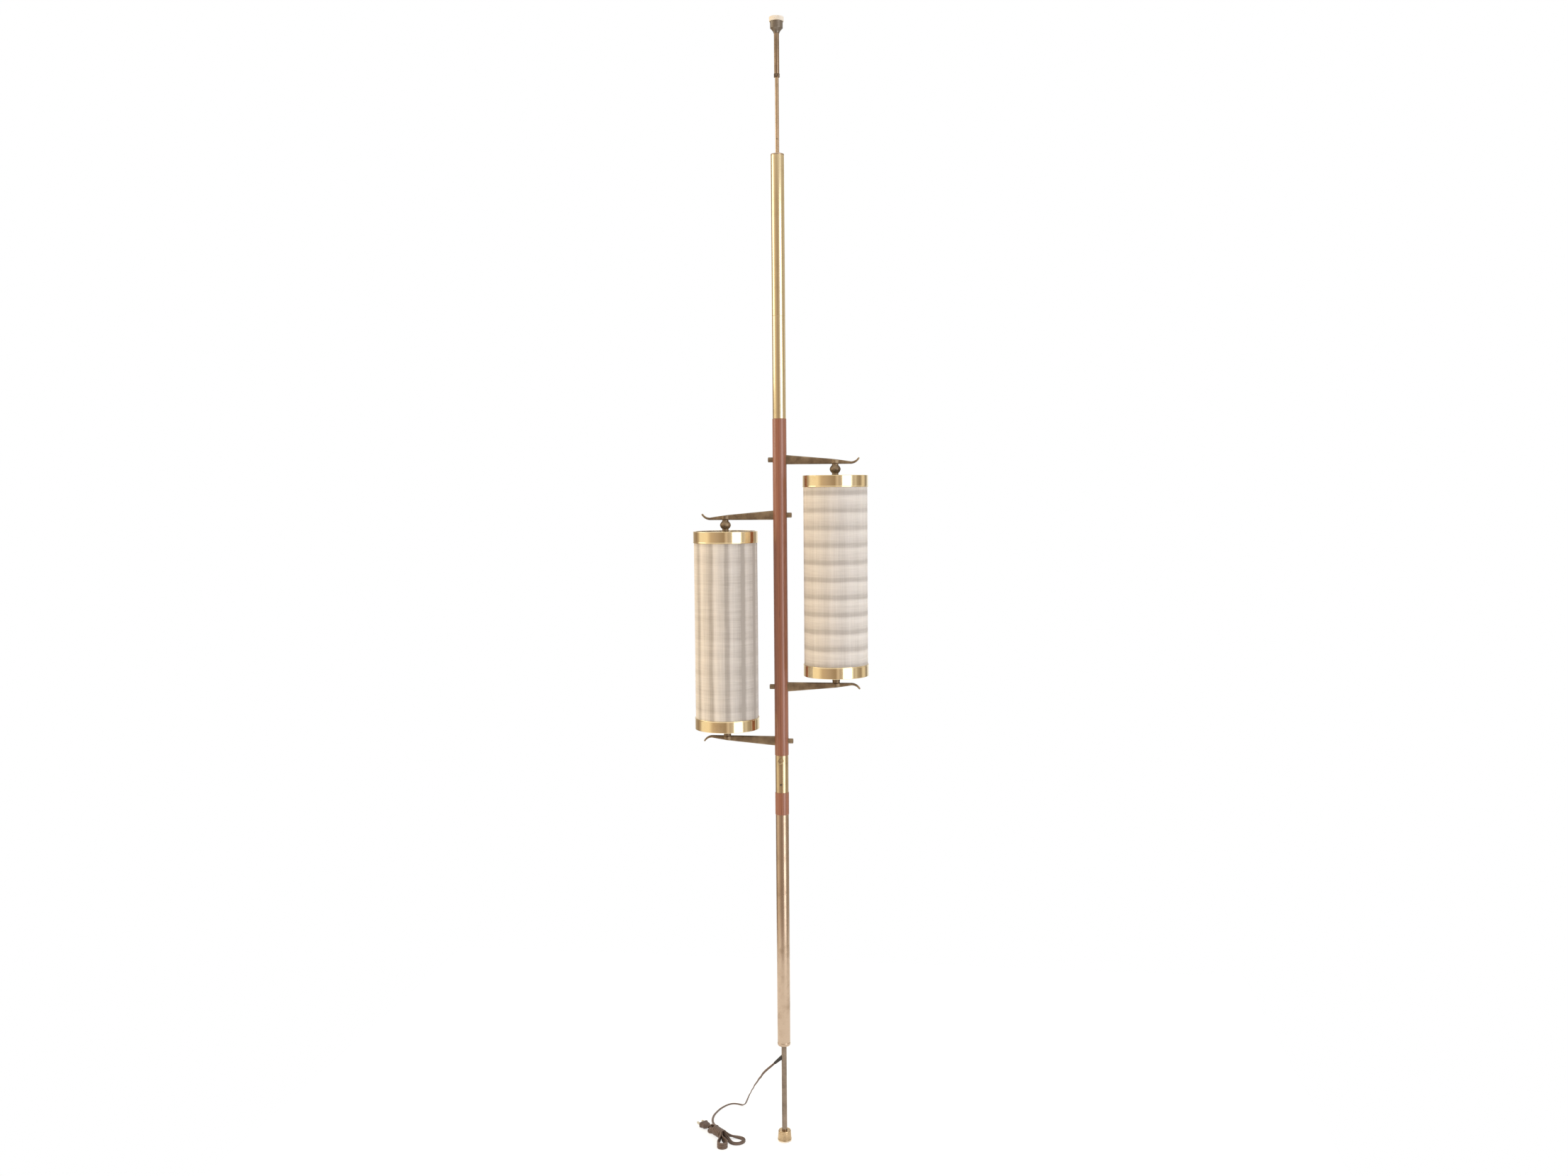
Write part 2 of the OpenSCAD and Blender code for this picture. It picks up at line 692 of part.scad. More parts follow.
// An arm with its socket for the stud and its coped end on the pole; upper arms also carry the wire
module arm(which) {
    long = arc_x + curl_r;
    at_arm(which) difference() {
        intersection() {
            rotate([90, 0, 0]) translate([0, 0, -arm_root_w]) linear_extrude(2 * arm_root_w) polygon(arm_side());
            translate([0, 0, -CUT]) linear_extrude(arm_root_h + curl_r) union() {
                polygon([[0, -arm_root_w / 2], [long, -arm_tip_w / 2], [long, arm_tip_w / 2], [0, arm_root_w / 2]]);
                translate([shade_reach, 0]) circle(r = arm_boss_r);
            }
        }
        translate([0, 0, -CUT]) cylinder(r = walnut_r, h = arm_root_h + 2 * CUT);
        translate([0, 0, arm_root_h / 2]) along_x(stud_r + slip_fit, 0, walnut_r + stud_in);
        translate([shade_reach, 0, -CUT]) cylinder(r = pivot_r, h = pivot_in_arm + CUT);
        if (which[2] > 0) translate([0, 0, wire_rise]) along_x(channel_r, 0, shade_reach);
    }
}

module right_upper_arm() { color("darkolivegreen") arm(ARMS[0]); }
module left_upper_arm() { color("darkolivegreen") arm(ARMS[1]); }
module right_lower_arm() { color("darkolivegreen") arm(ARMS[2]); }
module left_lower_arm() { color("darkolivegreen") arm(ARMS[3]); }

module arm_studs() {
    color("silver") for (arm = ARMS) at_arm(arm) translate([0, 0, arm_root_h / 2])
        along_x(stud_r, -walnut_r - arm_nut_len + 2, walnut_r + stud_in);
}

module arm_nuts() {
    color("darkolivegreen") for (arm = ARMS) at_arm(arm) translate([0, 0, arm_root_h / 2]) difference() {
        along_x(arm_nut_r, -walnut_r - arm_nut_len, -walnut_r / 2);
        along_x(stud_r, -walnut_r - arm_nut_len + 2, 0);
        translate([0, 0, -arm_root_h]) cylinder(r = walnut_r, h = 2 * arm_root_h);
    }
}

// --- shades ---

module knuckle(side) {
    h = level(side) - hub_top(side) - face_gap;
    at_shade(side) translate([0, 0, level(side) - h]) rotate_extrude() polygon([
        [pivot_r, 0], [knuckle_r * 0.72, 0], [knuckle_r * 0.9, h * 0.12], [knuckle_r, h * 0.34],
        [knuckle_r, h * 0.56], [knuckle_r * 0.86, h * 0.78], [knuckle_r * 0.62, h * 0.9],
        [knuckle_r * 0.62, h], [pivot_r, h]]);
}
module knuckles() { color("darkolivegreen") { knuckle(RIGHT); knuckle(LEFT); } }

module spacer(side) {
    h = hub_low(side) - face_gap - low_level(side);
    at_shade(side) translate([0, 0, low_level(side)]) rotate_extrude() polygon([
        [pivot_r, 0], [spacer_r * 0.66, 0], [spacer_r * 0.7, h * 0.35], [spacer_r * 0.9, h * 0.75],
        [spacer_r, h * 0.86], [spacer_r, h], [pivot_r, h]]);
}
module spacers() { color("darkolivegreen") { spacer(RIGHT); spacer(LEFT); } }

// Hollow pivot from the upper arm through knuckle, hub and nut into the lampholder, with a side hole
// for the wire
module upper_pivots() {
    color("goldenrod") for (arm = ARMS) if (arm[2] > 0) {
        z = socket_top(arm[0]) - pivot_in_socket;
        difference() {
            at_shade(arm[0]) pipe(pivot_r, pivot_bore_r, arm[1] + pivot_in_arm - z, z);
            at_arm(arm) translate([0, 0, wire_rise]) along_x(channel_r, 0, shade_reach);
        }
    }
}

// Solid pivot from the lower arm through spacer, hub and nut
module lower_pivots() {
    color("goldenrod") for (side = [RIGHT, LEFT]) at_shade(side) translate([0, 0, low_level(side) - pivot_in_arm])
        cylinder(r = pivot_r, h = hub_low(side) + hub_t + face_gap + pivot_nut_h - low_level(side) + pivot_in_arm);
}

module pivot_nuts() {
    color("goldenrod") for (side = [RIGHT, LEFT]) at_shade(side) {
        hex_nut(pivot_nut_d, pivot_r, pivot_nut_h, socket_top(side));
        hex_nut(pivot_nut_d, pivot_r, pivot_nut_h, hub_low(side) + hub_t + face_gap);
    }
}

// Lampholder: domed cap and shell, mouth down
module socket(side) {
    z0 = socket_top(side) - socket_len;
    cap_h = 14;
    color("goldenrod") at_shade(side) translate([0, 0, z0]) difference() {
        rotate_extrude() polygon([[0, 0], [socket_r, 0], [socket_r, socket_len - cap_h],
            [socket_r - 1, socket_len - cap_h + 3], [socket_r - 5, socket_len - 3], [8, socket_len], [0, socket_len]]);
        translate([0, 0, -CUT]) cylinder(r = socket_bore_r, h = socket_depth + CUT);
        translate([0, 0, socket_len - pivot_in_socket]) cylinder(r = pivot_r, h = pivot_in_socket + CUT);
    }
}
module right_socket() { socket(RIGHT); }
module left_socket() { socket(LEFT); }

// Pear-shaped bulb hanging in its lampholder: base, shoulder and globe
module bulb(side) {
    z0 = socket_top(side) - socket_len + socket_depth - bulb_base_len - face_gap;
    neck = bulb_base_r + 1.5;
    color("ivory") at_shade(side) translate([0, 0, z0]) rotate_extrude() polygon(concat(
        [[0, bulb_base_len], [bulb_base_r * 0.5, bulb_base_len], [bulb_base_r, bulb_base_len - 4], [bulb_base_r, -2],
         [neck, -3.5], [neck + 2, -14]],
        [for (a = [40 : -10 : -90]) [bulb_r * cos(a), -bulb_len + bulb_r + bulb_r * sin(a)]]));
}
module right_bulb() { bulb(RIGHT); }
module left_bulb() { bulb(LEFT); }

module shade(side) {
    color("linen") at_shade(side)
        pipe(fabric_r, fabric_ir, shade_h - 2 * band_t, shade_bottom(side) + band_t);
}
module right_shade() { shade(RIGHT); }
module left_shade() { shade(LEFT); }

// Brass band that wraps one end of a shade, its lip turned in over the fabric's end
module band(side, top) {
    z = top ? shade_top(side) : shade_bottom(side);
    color("gold") at_shade(side) translate([0, 0, z]) mirror([0, 0, top ? 1 : 0]) rotate_extrude() polygon([
        [fabric_r - band_lip, 0], [band_r, 0], [band_r, band_h], [band_r - band_t, band_h],
        [band_r - band_t, band_t], [fabric_r - band_lip, band_t]]);
}
module right_top_band() { band(RIGHT, true); }
module right_bottom_band() { band(RIGHT, false); }
module left_top_band() { band(LEFT, true); }
module left_bottom_band() { band(LEFT, false); }

// Hub and spokes that carry a shade's end; the spokes' outer side meets the band's lip at z = 0
module spider() {
    mirror([0, 0, 1]) difference() {
        union() {
            cylinder(r = hub_r, h = hub_t);
            for (i = [0 : spokes - 1]) rotate([0, 0, 90 + i * 360 / spokes])
                translate([0, 0, spoke_r]) along_x(spoke_r, pivot_r + 2, fabric_ir - slip_fit);
        }
        translate([0, 0, -CUT]) cylinder(r = pivot_r + run_fit, h = hub_t + 2 * CUT);
    }
}
module spiders(side) {
    color("goldenrod") at_shade(side) {
        translate([0, 0, hub_top(side)]) spider();
        translate([0, 0, hub_low(side)]) mirror([0, 0, 1]) spider();
    }
}
module right_spiders() { spiders(RIGHT); }
module left_spiders() { spiders(LEFT); }

// --- wires and cord ---

// Lead up the leg to the switch, a trunk beside the studs, and a branch along each upper arm
module wiring() {
    color("black") {
        translate([0, 0, cord_hole_z - 12]) cylinder(r = supply_r, h = z_switch - switch_h / 2 - cord_hole_z + 12);
        union() {
            translate([0, wire_y, switch_top]) cylinder(r = wire_r, h = level(RIGHT) + wire_rise - switch_top);
            for (arm = ARMS) if (arm[2] > 0) {
                z = arm[1] + wire_rise;
                translate([0, wire_y, z]) sphere(r = wire_r);
                translate([0, wire_y, z]) rotate([90, 0, 0]) cylinder(r = wire_r, h = wire_y);
                translate([0, 0, z]) sphere(r = wire_r);
                at_arm(arm) translate([0, 0, wire_rise]) along_x(wire_r, 0, shade_reach);
                at_shade(arm[0]) translate([0, 0, z]) sphere(r = wire_r);
                at_shade(arm[0]) translate([0, 0, socket_top(arm[0]) - pivot_in_socket])
                    cylinder(r = wire_r, h = z - socket_top(arm[0]) + pivot_in_socket);
            }
        }
    }
}

module cord_run() { color("saddlebrown") sweep(ROUTE, cord_d / 2, CORD_SIDES); }

// A bar with round ends from a to b, in plan
module lobe(a, b, r) {
    long = norm(b - a);
    translate(a) rotate(atan2(b[1] - a[1], b[0] - a[0])) translate([0, -r]) square([long, 2 * r]);
    translate(a) circle(r = r);
    translate(b) circle(r = r);
}

module cord_hank() {
    color("saddlebrown") linear_extrude(hank_h) union() {
        translate(HANK_MIDDLE) circle(r = HANK_MIDDLE_R);
        lobe(HANK_MIDDLE, HANK_LEFT, HANK_LEFT_R);
        lobe(HANK_MIDDLE, HANK_RIGHT, HANK_NECK_R);
        lobe(HANK_MIDDLE, HANK_FRONT, HANK_NECK_R);
        translate(HANK_RIGHT) circle(r = HANK_RIGHT_R);
        translate(HANK_FRONT) circle(r = HANK_FRONT_R);
    }
}

// Two-blade plug that lies at the hank's left end
module plug() {
    away = unit(HANK_LEFT - HANK_MIDDLE);
    start = HANK_LEFT + away * (HANK_LEFT_R - 4);
    blade = [17, 1.5, 6.3];
    blade_gap = 12.7;
    color("black") translate([start[0], start[1], 0]) rotate(atan2(away[1], away[0])) union() {
        translate([0, -plug_w / 2, 0]) cube([plug_len - 6, plug_w, plug_t]);
        for (s = [-1, 1]) translate([plug_len - 7, s * blade_gap / 2 - blade[1] / 2, (plug_t - blade[2]) / 2])
            cube(blade);
    }
}

foot_pad();
foot_cup();
leg_tube();
leg_nut();
lower_end_cap();
lower_tube();
lower_joiner();
walnut_ring();
switch_housing();
housing_screw();
switch_body();
switch_nut();
switch_knob();
walnut_pole();
centre_pipe();
pipe_flanges();
pipe_nuts();
mid_tube();
tube_joiner();
upper_tube();
spring_seat();
spring();
spring_washer();
plunger_rod();
stop_pin();
top_bush();
lock_collar();
top_sleeve();
ceiling_cup();
ceiling_pad();
right_upper_arm();
right_lower_arm();
left_upper_arm();
left_lower_arm();
arm_studs();
arm_nuts();
knuckles();
spacers();
upper_pivots();
lower_pivots();
pivot_nuts();
right_socket();
left_socket();
right_bulb();
left_bulb();
right_shade();
left_shade();
right_top_band();
right_bottom_band();
left_top_band();
left_bottom_band();
right_spiders();
left_spiders();
wiring();
cord_bushing();
cord_run();
cord_hank();
plug();
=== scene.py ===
from math import atan, cos, pi, radians, sin, tau

import bmesh
import bpy
import numpy as np
from mathutils import Matrix, Vector


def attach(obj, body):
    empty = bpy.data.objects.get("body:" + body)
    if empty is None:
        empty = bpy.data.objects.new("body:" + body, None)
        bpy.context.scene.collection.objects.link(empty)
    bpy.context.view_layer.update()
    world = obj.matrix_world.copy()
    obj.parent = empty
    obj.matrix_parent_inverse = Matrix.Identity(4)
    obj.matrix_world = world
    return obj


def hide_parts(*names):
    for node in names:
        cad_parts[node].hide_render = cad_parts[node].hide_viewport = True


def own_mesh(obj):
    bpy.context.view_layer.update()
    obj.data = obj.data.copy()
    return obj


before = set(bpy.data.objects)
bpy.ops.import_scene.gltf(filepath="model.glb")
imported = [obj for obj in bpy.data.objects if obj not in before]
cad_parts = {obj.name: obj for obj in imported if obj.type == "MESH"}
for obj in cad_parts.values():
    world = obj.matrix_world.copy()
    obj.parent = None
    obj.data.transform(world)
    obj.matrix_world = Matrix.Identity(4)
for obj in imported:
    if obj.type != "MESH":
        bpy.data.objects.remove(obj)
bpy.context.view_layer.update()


# --- Viewpoint ---
# The photograph was taken from 3.06 m in front of the pole and 8 degrees to its right, at 1.45 m,
# looking 4 degrees down.
# The photograph's width, the lens's length and the column in which the pole stands, in pixels
photo_width, focal_pixels, pole_column = 2212, 2000, 1101.2
view_distance, view_height = 3.064, 1.446
view_side, view_down, view_roll = radians(8), radians(3.99), radians(0.42)
view_turn = view_side - atan((photo_width / 2 - pole_column) / focal_pixels)

ahead = Vector((-sin(view_turn) * cos(view_down), cos(view_turn) * cos(view_down), -sin(view_down)))
level_right = Vector((cos(view_turn), sin(view_turn), 0))
upright = level_right.cross(ahead)
image_right = level_right * cos(view_roll) - upright * sin(view_roll)
image_up = upright * cos(view_roll) + level_right * sin(view_roll)

lens = bpy.data.cameras.new("camera")
lens.sensor_width = 36
lens.lens = lens.sensor_width * focal_pixels / photo_width
camera = bpy.data.objects.new("camera", lens)
turn = Matrix((image_right, image_up, -ahead)).transposed().to_4x4()
stand = (view_distance * sin(view_side), -view_distance * cos(view_side), view_height)
camera.matrix_world = Matrix.Translation(stand) @ turn
to_scene = bpy.context.scene.collection.objects.link
to_scene(camera)
bpy.context.scene.camera = camera
bpy.context.scene.view_settings.view_transform = "Standard"


# --- Room and light ---
# A pale room that is warm on the left and dim behind the viewer, one tall window on the right, and a
# white floor. Metal shows the room; the eye and glass see it white.
class Signal:
    """A value that varies over a surface: a node's output, with arithmetic that adds Math nodes."""

    def __init__(self, finish, socket):
        self.finish, self.socket = finish, socket

    def __add__(self, other):
        return self.finish.math("ADD", self, other)

    def __sub__(self, other):
        return self.finish.math("SUBTRACT", self, other)

    def __rsub__(self, other):
        return self.finish.math("SUBTRACT", other, self)

    def __mul__(self, other):
        return self.finish.math("MULTIPLY", self, other)

    def __truediv__(self, other):
        return self.finish.math("DIVIDE", self, other)

    __radd__, __rmul__ = __add__, __mul__


class Finish:
    """The nodes of a material or of the world, while it is being made."""

    def __init__(self, owner):
        owner.use_nodes = True
        self.owner, self.tree = owner, owner.node_tree
        self.tree.nodes.clear()

    def node(self, kind, settings=None, sockets=None, output=0):
        """Adds a shader node, makes its settings, then sets or links its sockets by name or number."""
        made = self.tree.nodes.new("ShaderNode" + kind)
        for name, value in (settings or {}).items():
            if name == "stops":
                ramp = made.color_ramp.elements
                for place, _ in value[1:-1]:
                    ramp.new(place)
                for stop, (place, shade) in zip(ramp, value):
                    stop.position, stop.color = place, (*shade, 1)
            else:
                setattr(made, name, value)
        for name, value in (sockets or {}).items():
            socket = made.inputs[name]
            if isinstance(value, Signal):
                self.tree.links.new(value.socket, socket)
            elif socket.type == "RGBA" and len(value) == 3:
                socket.default_value = (*value, 1)
            else:
                socket.default_value = value
        return Signal(self, made.outputs[output]) if made.outputs else None

    def outputs(self, kind, settings=None, sockets=None):
        """Adds a node and gives all its outputs by name."""
        made = self.node(kind, settings, sockets).socket.node
        return {socket.name: Signal(self, socket) for socket in made.outputs}

    def math(self, operation, *terms):
        """One Math node on these values."""
        return self.node("Math", {"operation": operation}, dict(enumerate(terms)))

    def split(self, vector):
        """The three coordinates of a vector."""
        return list(self.outputs("SeparateXYZ", None, {0: vector}).values())

    def mix(self, share, first, second):
        """A colour that goes from first to second as share goes from 0 to 1."""
        return self.node("Mix", {"data_type": "RGBA"}, {0: share, 6: first, 7: second}, 2)

    def rise(self, value, low, high, start=0.0, end=1.0):
        """Goes smoothly from start to end while value goes from low to high."""
        return self.node("MapRange", {"interpolation_type": "SMOOTHSTEP"}, {
            "Value": value, "From Min": low, "From Max": high, "To Min": start, "To Max": end})

    def place(self, stretch=(1, 1, 1), move=(0, 0, 0)):
        """Object coordinates in metres, moved and then stretched."""
        spot = self.node("TexCoord", output=3)
        moved = self.node("VectorMath", {"operation": "ADD"}, {0: spot, 1: move})
        return self.node("VectorMath", {"operation": "MULTIPLY"}, {0: moved, 1: stretch})

    def noise(self, scale, detail, stretch=(1, 1, 1), roughness=0.5, distortion=0.0):
        """Soft noise from 0 to 1 with this many cells a metre, on stretched coordinates."""
        return self.node("TexNoise", None, {
            "Vector": self.place(stretch), "Scale": scale, "Detail": detail,
            "Roughness": roughness, "Distortion": distortion})

    def relief(self, height, depth, strength):
        """The normal of a surface that stands up by height times depth, in metres."""
        return self.node("Bump", None, {"Height": height, "Distance": depth, "Strength": strength})

    def surface(self, **sockets):
        """Ends the material with a Principled surface; keywords are its sockets' names."""
        names = {name.replace("_", " ").title().replace("Ior", "IOR"): value
                 for name, value in sockets.items()}
        self.node("OutputMaterial", None, {"Surface": self.node("BsdfPrincipled", None, names)})
        return self.owner


def new_finish(name):
    """The nodes of a new material."""
    return Finish(bpy.data.materials.new(name))


room = bpy.data.worlds.new("room")
bpy.context.scene.world = room
air = Finish(room)
gaze = air.split(air.node("TexCoord", output=0))
# The walls by azimuth, in degrees from the viewer's side to the right: white behind the lamp, warm on
# the left, dim round the viewer and on the far right
wall_stops = [
    (-180, (1, 1, 1)), (-160, (0.95, 0.95, 0.95)), (-145, (0.5, 0.42, 0.35)), (-116, (0.33, 0.25, 0.19)),
    (-104, (0.5, 0.4, 0.31)), (-92, (0.98, 0.87, 0.7)), (-60, (1, 0.87, 0.68)), (-44, (0.62, 0.49, 0.38)),
    (-20, (0.5, 0.4, 0.33)), (-2, (0.4, 0.31, 0.24)), (5, (0.38, 0.29, 0.22)), (10, (0.62, 0.52, 0.45)),
    (14, (0.7, 0.6, 0.54)), (19, (0.5, 0.42, 0.37)), (56, (0.92, 0.88, 0.86)), (67, (0.9, 0.88, 0.88)),
    (73, (0.5, 0.44, 0.39)), (80, (0.72, 0.66, 0.6)), (90, (0.44, 0.38, 0.32)), (104, (0.34, 0.28, 0.23)),
    (116, (0.78, 0.7, 0.6)), (126, (0.76, 0.68, 0.58)), (140, (0.26, 0.22, 0.19)), (160, (0.9, 0.9, 0.9)),
    (180, (1, 1, 1))]
azimuth = air.math("ARCTAN2", gaze[0], gaze[1] * -1)
walls = air.node("ValToRGB", {"stops": [((place + 180) / 360, shade) for place, shade in wall_stops]}, {
    "Fac": azimuth / tau + 0.5})
# They turn into the ceiling between these two slopes of a look upwards
wall_top, ceiling_edge = 0.22, 0.65
walls = air.mix(air.rise(gaze[2], wall_top, ceiling_edge), walls, (1.0, 0.97, 0.91))
path_kinds = air.outputs("LightPath")
eye_sees = air.math("MAXIMUM", path_kinds["Is Camera Ray"], path_kinds["Is Transmission Ray"])
lit = air.node("Background", None, {"Color": walls, "Strength": 1.0})
white = air.node("Background", None, {"Color": (1, 1, 1), "Strength": 1.0})
air.node("OutputWorld", None, {"Surface": air.node("MixShader", None, {0: eye_sees, 1: lit, 2: white})})


def panel(name, azimuth, distance, height, width, tall, watts, colour, mirrored):
    """A soft rectangular light that stands upright at an azimuth, a distance and a height, and faces the
    pole. It shows in metal, or it lights what is not shiny."""
    data = bpy.data.lights.new(name, "AREA")
    data.shape, data.size, data.size_y = "RECTANGLE", width, tall
    data.energy, data.color = watts, colour
    light = bpy.data.objects.new(name, data)
    spot = Vector((distance * sin(radians(azimuth)), -distance * cos(radians(azimuth)), height))
    light.location = spot
    light.rotation_euler = (Vector((0, 0, height)) - spot).to_track_quat("-Z", "Y").to_euler()
    light.visible_camera, light.visible_glossy, light.visible_diffuse = False, mirrored, not mirrored
    to_scene(light)


panel("window", 48, 3.4, 1.2, 2.0, 3.6, 41, (0.92, 0.96, 1.0), mirrored=True)
panel("window_spill", 62, 3.4, 1.2, 1.4, 3.6, 42, (0.92, 0.96, 1.0), mirrored=False)
panel("high_left", -86, 3.4, 2.65, 2.2, 1.7, 16, (1.0, 0.98, 0.88), mirrored=True)
panel("left_fill", -72, 3.6, 1.5, 1.6, 2.8, 57, (1.0, 0.78, 0.47), mirrored=False)

floor_half = 1.2
floor_mesh = bpy.data.meshes.new("floor")
floor_mesh.from_pydata([(x, y, 0.0) for y in (-floor_half, floor_half) for x in (-floor_half, floor_half)],
                       [], [(0, 1, 3, 2)])
floor = bpy.data.objects.new("floor", floor_mesh)
to_scene(floor)
ground = new_finish("floor_white")
floor_paths = ground.outputs("LightPath")
floor_seen = ground.math("MAXIMUM", floor_paths["Is Camera Ray"], floor_paths["Is Glossy Ray"])
floor_tone = ground.mix(floor_seen, (0.85, 0.85, 0.85), (0.42, 0.42, 0.42))
paint = ground.node("BsdfDiffuse", None, {"Color": floor_tone})
glow = ground.node("Emission", None, {"Color": (1, 1, 1), "Strength": floor_seen * 0.68})
ground.node("OutputMaterial", None, {"Surface": ground.node("AddShader", None, {0: paint, 1: glow})})
floor_mesh.materials.append(ground.owner)


# --- Cord ---
# Flat brown twin cord, 5.0 x 2.8 mm, that leaves the leg through a bushing, runs down behind the foot
# and round to the left, and is folded into a hank held by five turns of itself.
def unit(rows):
    """Each row divided by its length."""
    return rows / np.linalg.norm(rows, axis=-1, keepdims=True)


def round_angles(count):
    """This many angles evenly round a circle."""
    return np.arange(count) * tau / count


def squared(wave, power):
    """A sine or cosine whose size is raised to a power under 1, so that the circle it draws gets squarer."""
    return np.sign(wave) * np.abs(wave) ** power


def points_of(*coordinates):
    """Points from arrays of their coordinates, which are repeated where they have one row or column."""
    return np.stack(np.broadcast_arrays(*coordinates), -1)


def smooth_path(knots, step):
    """A centripetal Catmull-Rom curve through the knots, as points about step apart."""
    knots = np.vstack([2 * knots[0] - knots[1], knots, 2 * knots[-1] - knots[-2]])
    gaps = np.sqrt(np.linalg.norm(np.diff(knots[:, :3], axis=0), axis=1))
    times = np.concatenate([[0], np.cumsum(gaps)])
    fine = np.linspace(times[1], times[-2], int((len(knots) - 3) * 24))
    left = np.clip(np.searchsorted(times, fine, side="right") - 1, 1, len(knots) - 3)
    p0, p1, p2, p3 = (knots[left + k] for k in (-1, 0, 1, 2))
    t0, t1, t2, t3 = (times[left + k][:, None] for k in (-1, 0, 1, 2))
    t = fine[:, None]
    a1 = (t1 - t) / (t1 - t0) * p0 + (t - t0) / (t1 - t0) * p1
    a2 = (t2 - t) / (t2 - t1) * p1 + (t - t1) / (t2 - t1) * p2
    a3 = (t3 - t) / (t3 - t2) * p2 + (t - t2) / (t3 - t2) * p3
    b1 = (t2 - t) / (t2 - t0) * a1 + (t - t0) / (t2 - t0) * a2
    b2 = (t3 - t) / (t3 - t1) * a2 + (t - t1) / (t3 - t1) * a3
    dense = (t2 - t) / (t2 - t1) * b1 + (t - t1) / (t2 - t1) * b2
    run = np.concatenate([[0], np.cumsum(np.linalg.norm(np.diff(dense[:, :3], axis=0), axis=1))])
    marks = np.linspace(0, run[-1], int(run[-1] / step) + 1)
    return np.stack([np.interp(marks, run, column) for column in dense.T], axis=1)


def softened(path, gap, spread, step):
    """A path of points gap apart, averaged over its neighbours with a bell curve of this spread, as points
    step apart. Both ends stay where they are."""
    reach = int(4 * spread / gap)
    bell = np.exp(-0.5 * (np.arange(-reach, reach + 1) * gap / spread) ** 2)
    longer = np.vstack([2 * path[0] - path[reach:0:-1], path, 2 * path[-1] - path[-2:-reach - 2:-1]])
    calm = np.stack([np.convolve(column, bell / bell.sum(), "valid") for column in longer.T], axis=1)
    return calm[::round(step / gap)]


def skin(rings, closed=False):
    """Points and faces of a tube: quads between neighbouring rings, and a flat face on each open end."""
    count, sides = rings.shape[:2]
    index = np.arange(count * sides).reshape(count, sides)
    near = index if closed else index[:-1]
    far = np.roll(index, -1, 0) if closed else index[1:]
    quads = np.stack([near, np.roll(near, -1, 1), np.roll(far, -1, 1), far], -1).reshape(-1, 4).tolist()
    ends = [] if closed else [index[0, ::-1].tolist(), index[-1].tolist()]
    return rings.reshape(-1, 3), quads + ends


def swept(path, across, section):
    """A section carried along a path: its first coordinate lies along across, its second is at right
    angles to it."""
    ahead = unit(np.gradient(path, axis=0))
    side = unit(across - (across * ahead).sum(1, keepdims=True) * ahead)
    up = np.cross(ahead, side)
    return path[:, None] + side[:, None] * section[None, :, :1] + up[:, None] * section[None, :, 1:]


def together(*parts):
    """Points and faces of several parts as one."""
    starts = np.cumsum([0] + [len(points) for points, _ in parts])
    faces = [[int(start) + corner for corner in face]
             for start, (_, some) in zip(starts, parts) for face in some]
    return np.vstack([points for points, _ in parts]), faces


def piece(name, form, finish, slot, body, *nodes, crease=40, marks=None):
    """A smooth-shaded mesh object from points in millimetres and faces, riding on a body in place of
    its nodes. marks are named values for the points, for the finish to read."""
    points, faces = form
    mesh = bpy.data.meshes.new(name)
    mesh.from_pydata((np.asarray(points) / 1000).tolist(), [], faces)
    for mark, values in (marks or {}).items():
        named = mesh.attributes.new(mark, "FLOAT", "POINT").data
        named.foreach_set("value", np.asarray(values, np.float32).ravel())
    work = bmesh.new()
    work.from_mesh(mesh)
    bmesh.ops.recalc_face_normals(work, faces=work.faces)
    work.to_mesh(mesh)
    work.free()
    mesh.polygons.foreach_set("use_smooth", np.ones(len(mesh.polygons), bool))
    mesh.set_sharp_from_angle(angle=radians(crease))
    mesh.materials.append(finish)
    made = bpy.data.objects.new(name, mesh)
    to_scene(made)
    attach(made, body)
    if nodes:
        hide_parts(*nodes)
    return made


cord_width, cord_thick = 5.0, 2.8
cord_route = np.array([
    [-21, 0, 175], [-31, 3, 165], [-39, 10, 156], [-46, 18, 147], [-53, 26, 137], [-58, 35, 127],
    [-64, 44, 118], [-69, 53, 108], [-74, 63, 99], [-79, 72, 90], [-83, 82, 80], [-88, 91, 71],
    [-92, 101, 61], [-97, 110, 51], [-101, 120, 41], [-105, 129, 31], [-109, 139, 21], [-114, 149, 11],
    [-122, 159, 3.5], [-133, 167, 1.6], [-146, 168, 1.6], [-157, 160, 1.6], [-165, 148, 1.6],
    [-171, 135, 1.6], [-175, 121, 1.6], [-178, 107, 1.6], [-179, 93, 1.6], [-178, 79, 1.6],
    [-175, 66, 1.6], [-169.5, 54, 1.6], [-163.5, 44, 1.6], [-158, 34, 1.6], [-154, 24, 1.6]], float)
# The hank lies along its spine, from the waist, where the turns are, to the left folds and the plug
waist = np.array([-146.0, -2.0])
spine = unit(np.array([-23.8, 22.9]))
beside = np.array([spine[1], -spine[0]])


def by_hank(points):
    """Rows of (along the spine from the waist, to its side, height) as positions."""
    points = np.asarray(points, float)
    return np.concatenate([waist + points[..., :1] * spine + points[..., 1:2] * beside, points[..., 2:]], -1)


def out_and_across(centre, side):
    """The direction out to a fold from the waist, and the direction across it to one side."""
    out = unit(np.array(centre))
    cross = np.array([-out[1], out[0]])
    return out, cross * np.sign(cross[1]) * side


def fold(centre, radius, height, side):
    """Points round the far end of a loop, seen from the waist, that start on this side of it."""
    out, cross = out_and_across(centre, side)
    angles = np.radians([110, 74, 37, 0, -37, -74, -110])[:, None]
    ring = centre + radius * (np.cos(angles) * out + np.sin(angles) * cross)
    return np.column_stack([ring, np.full(7, height)])


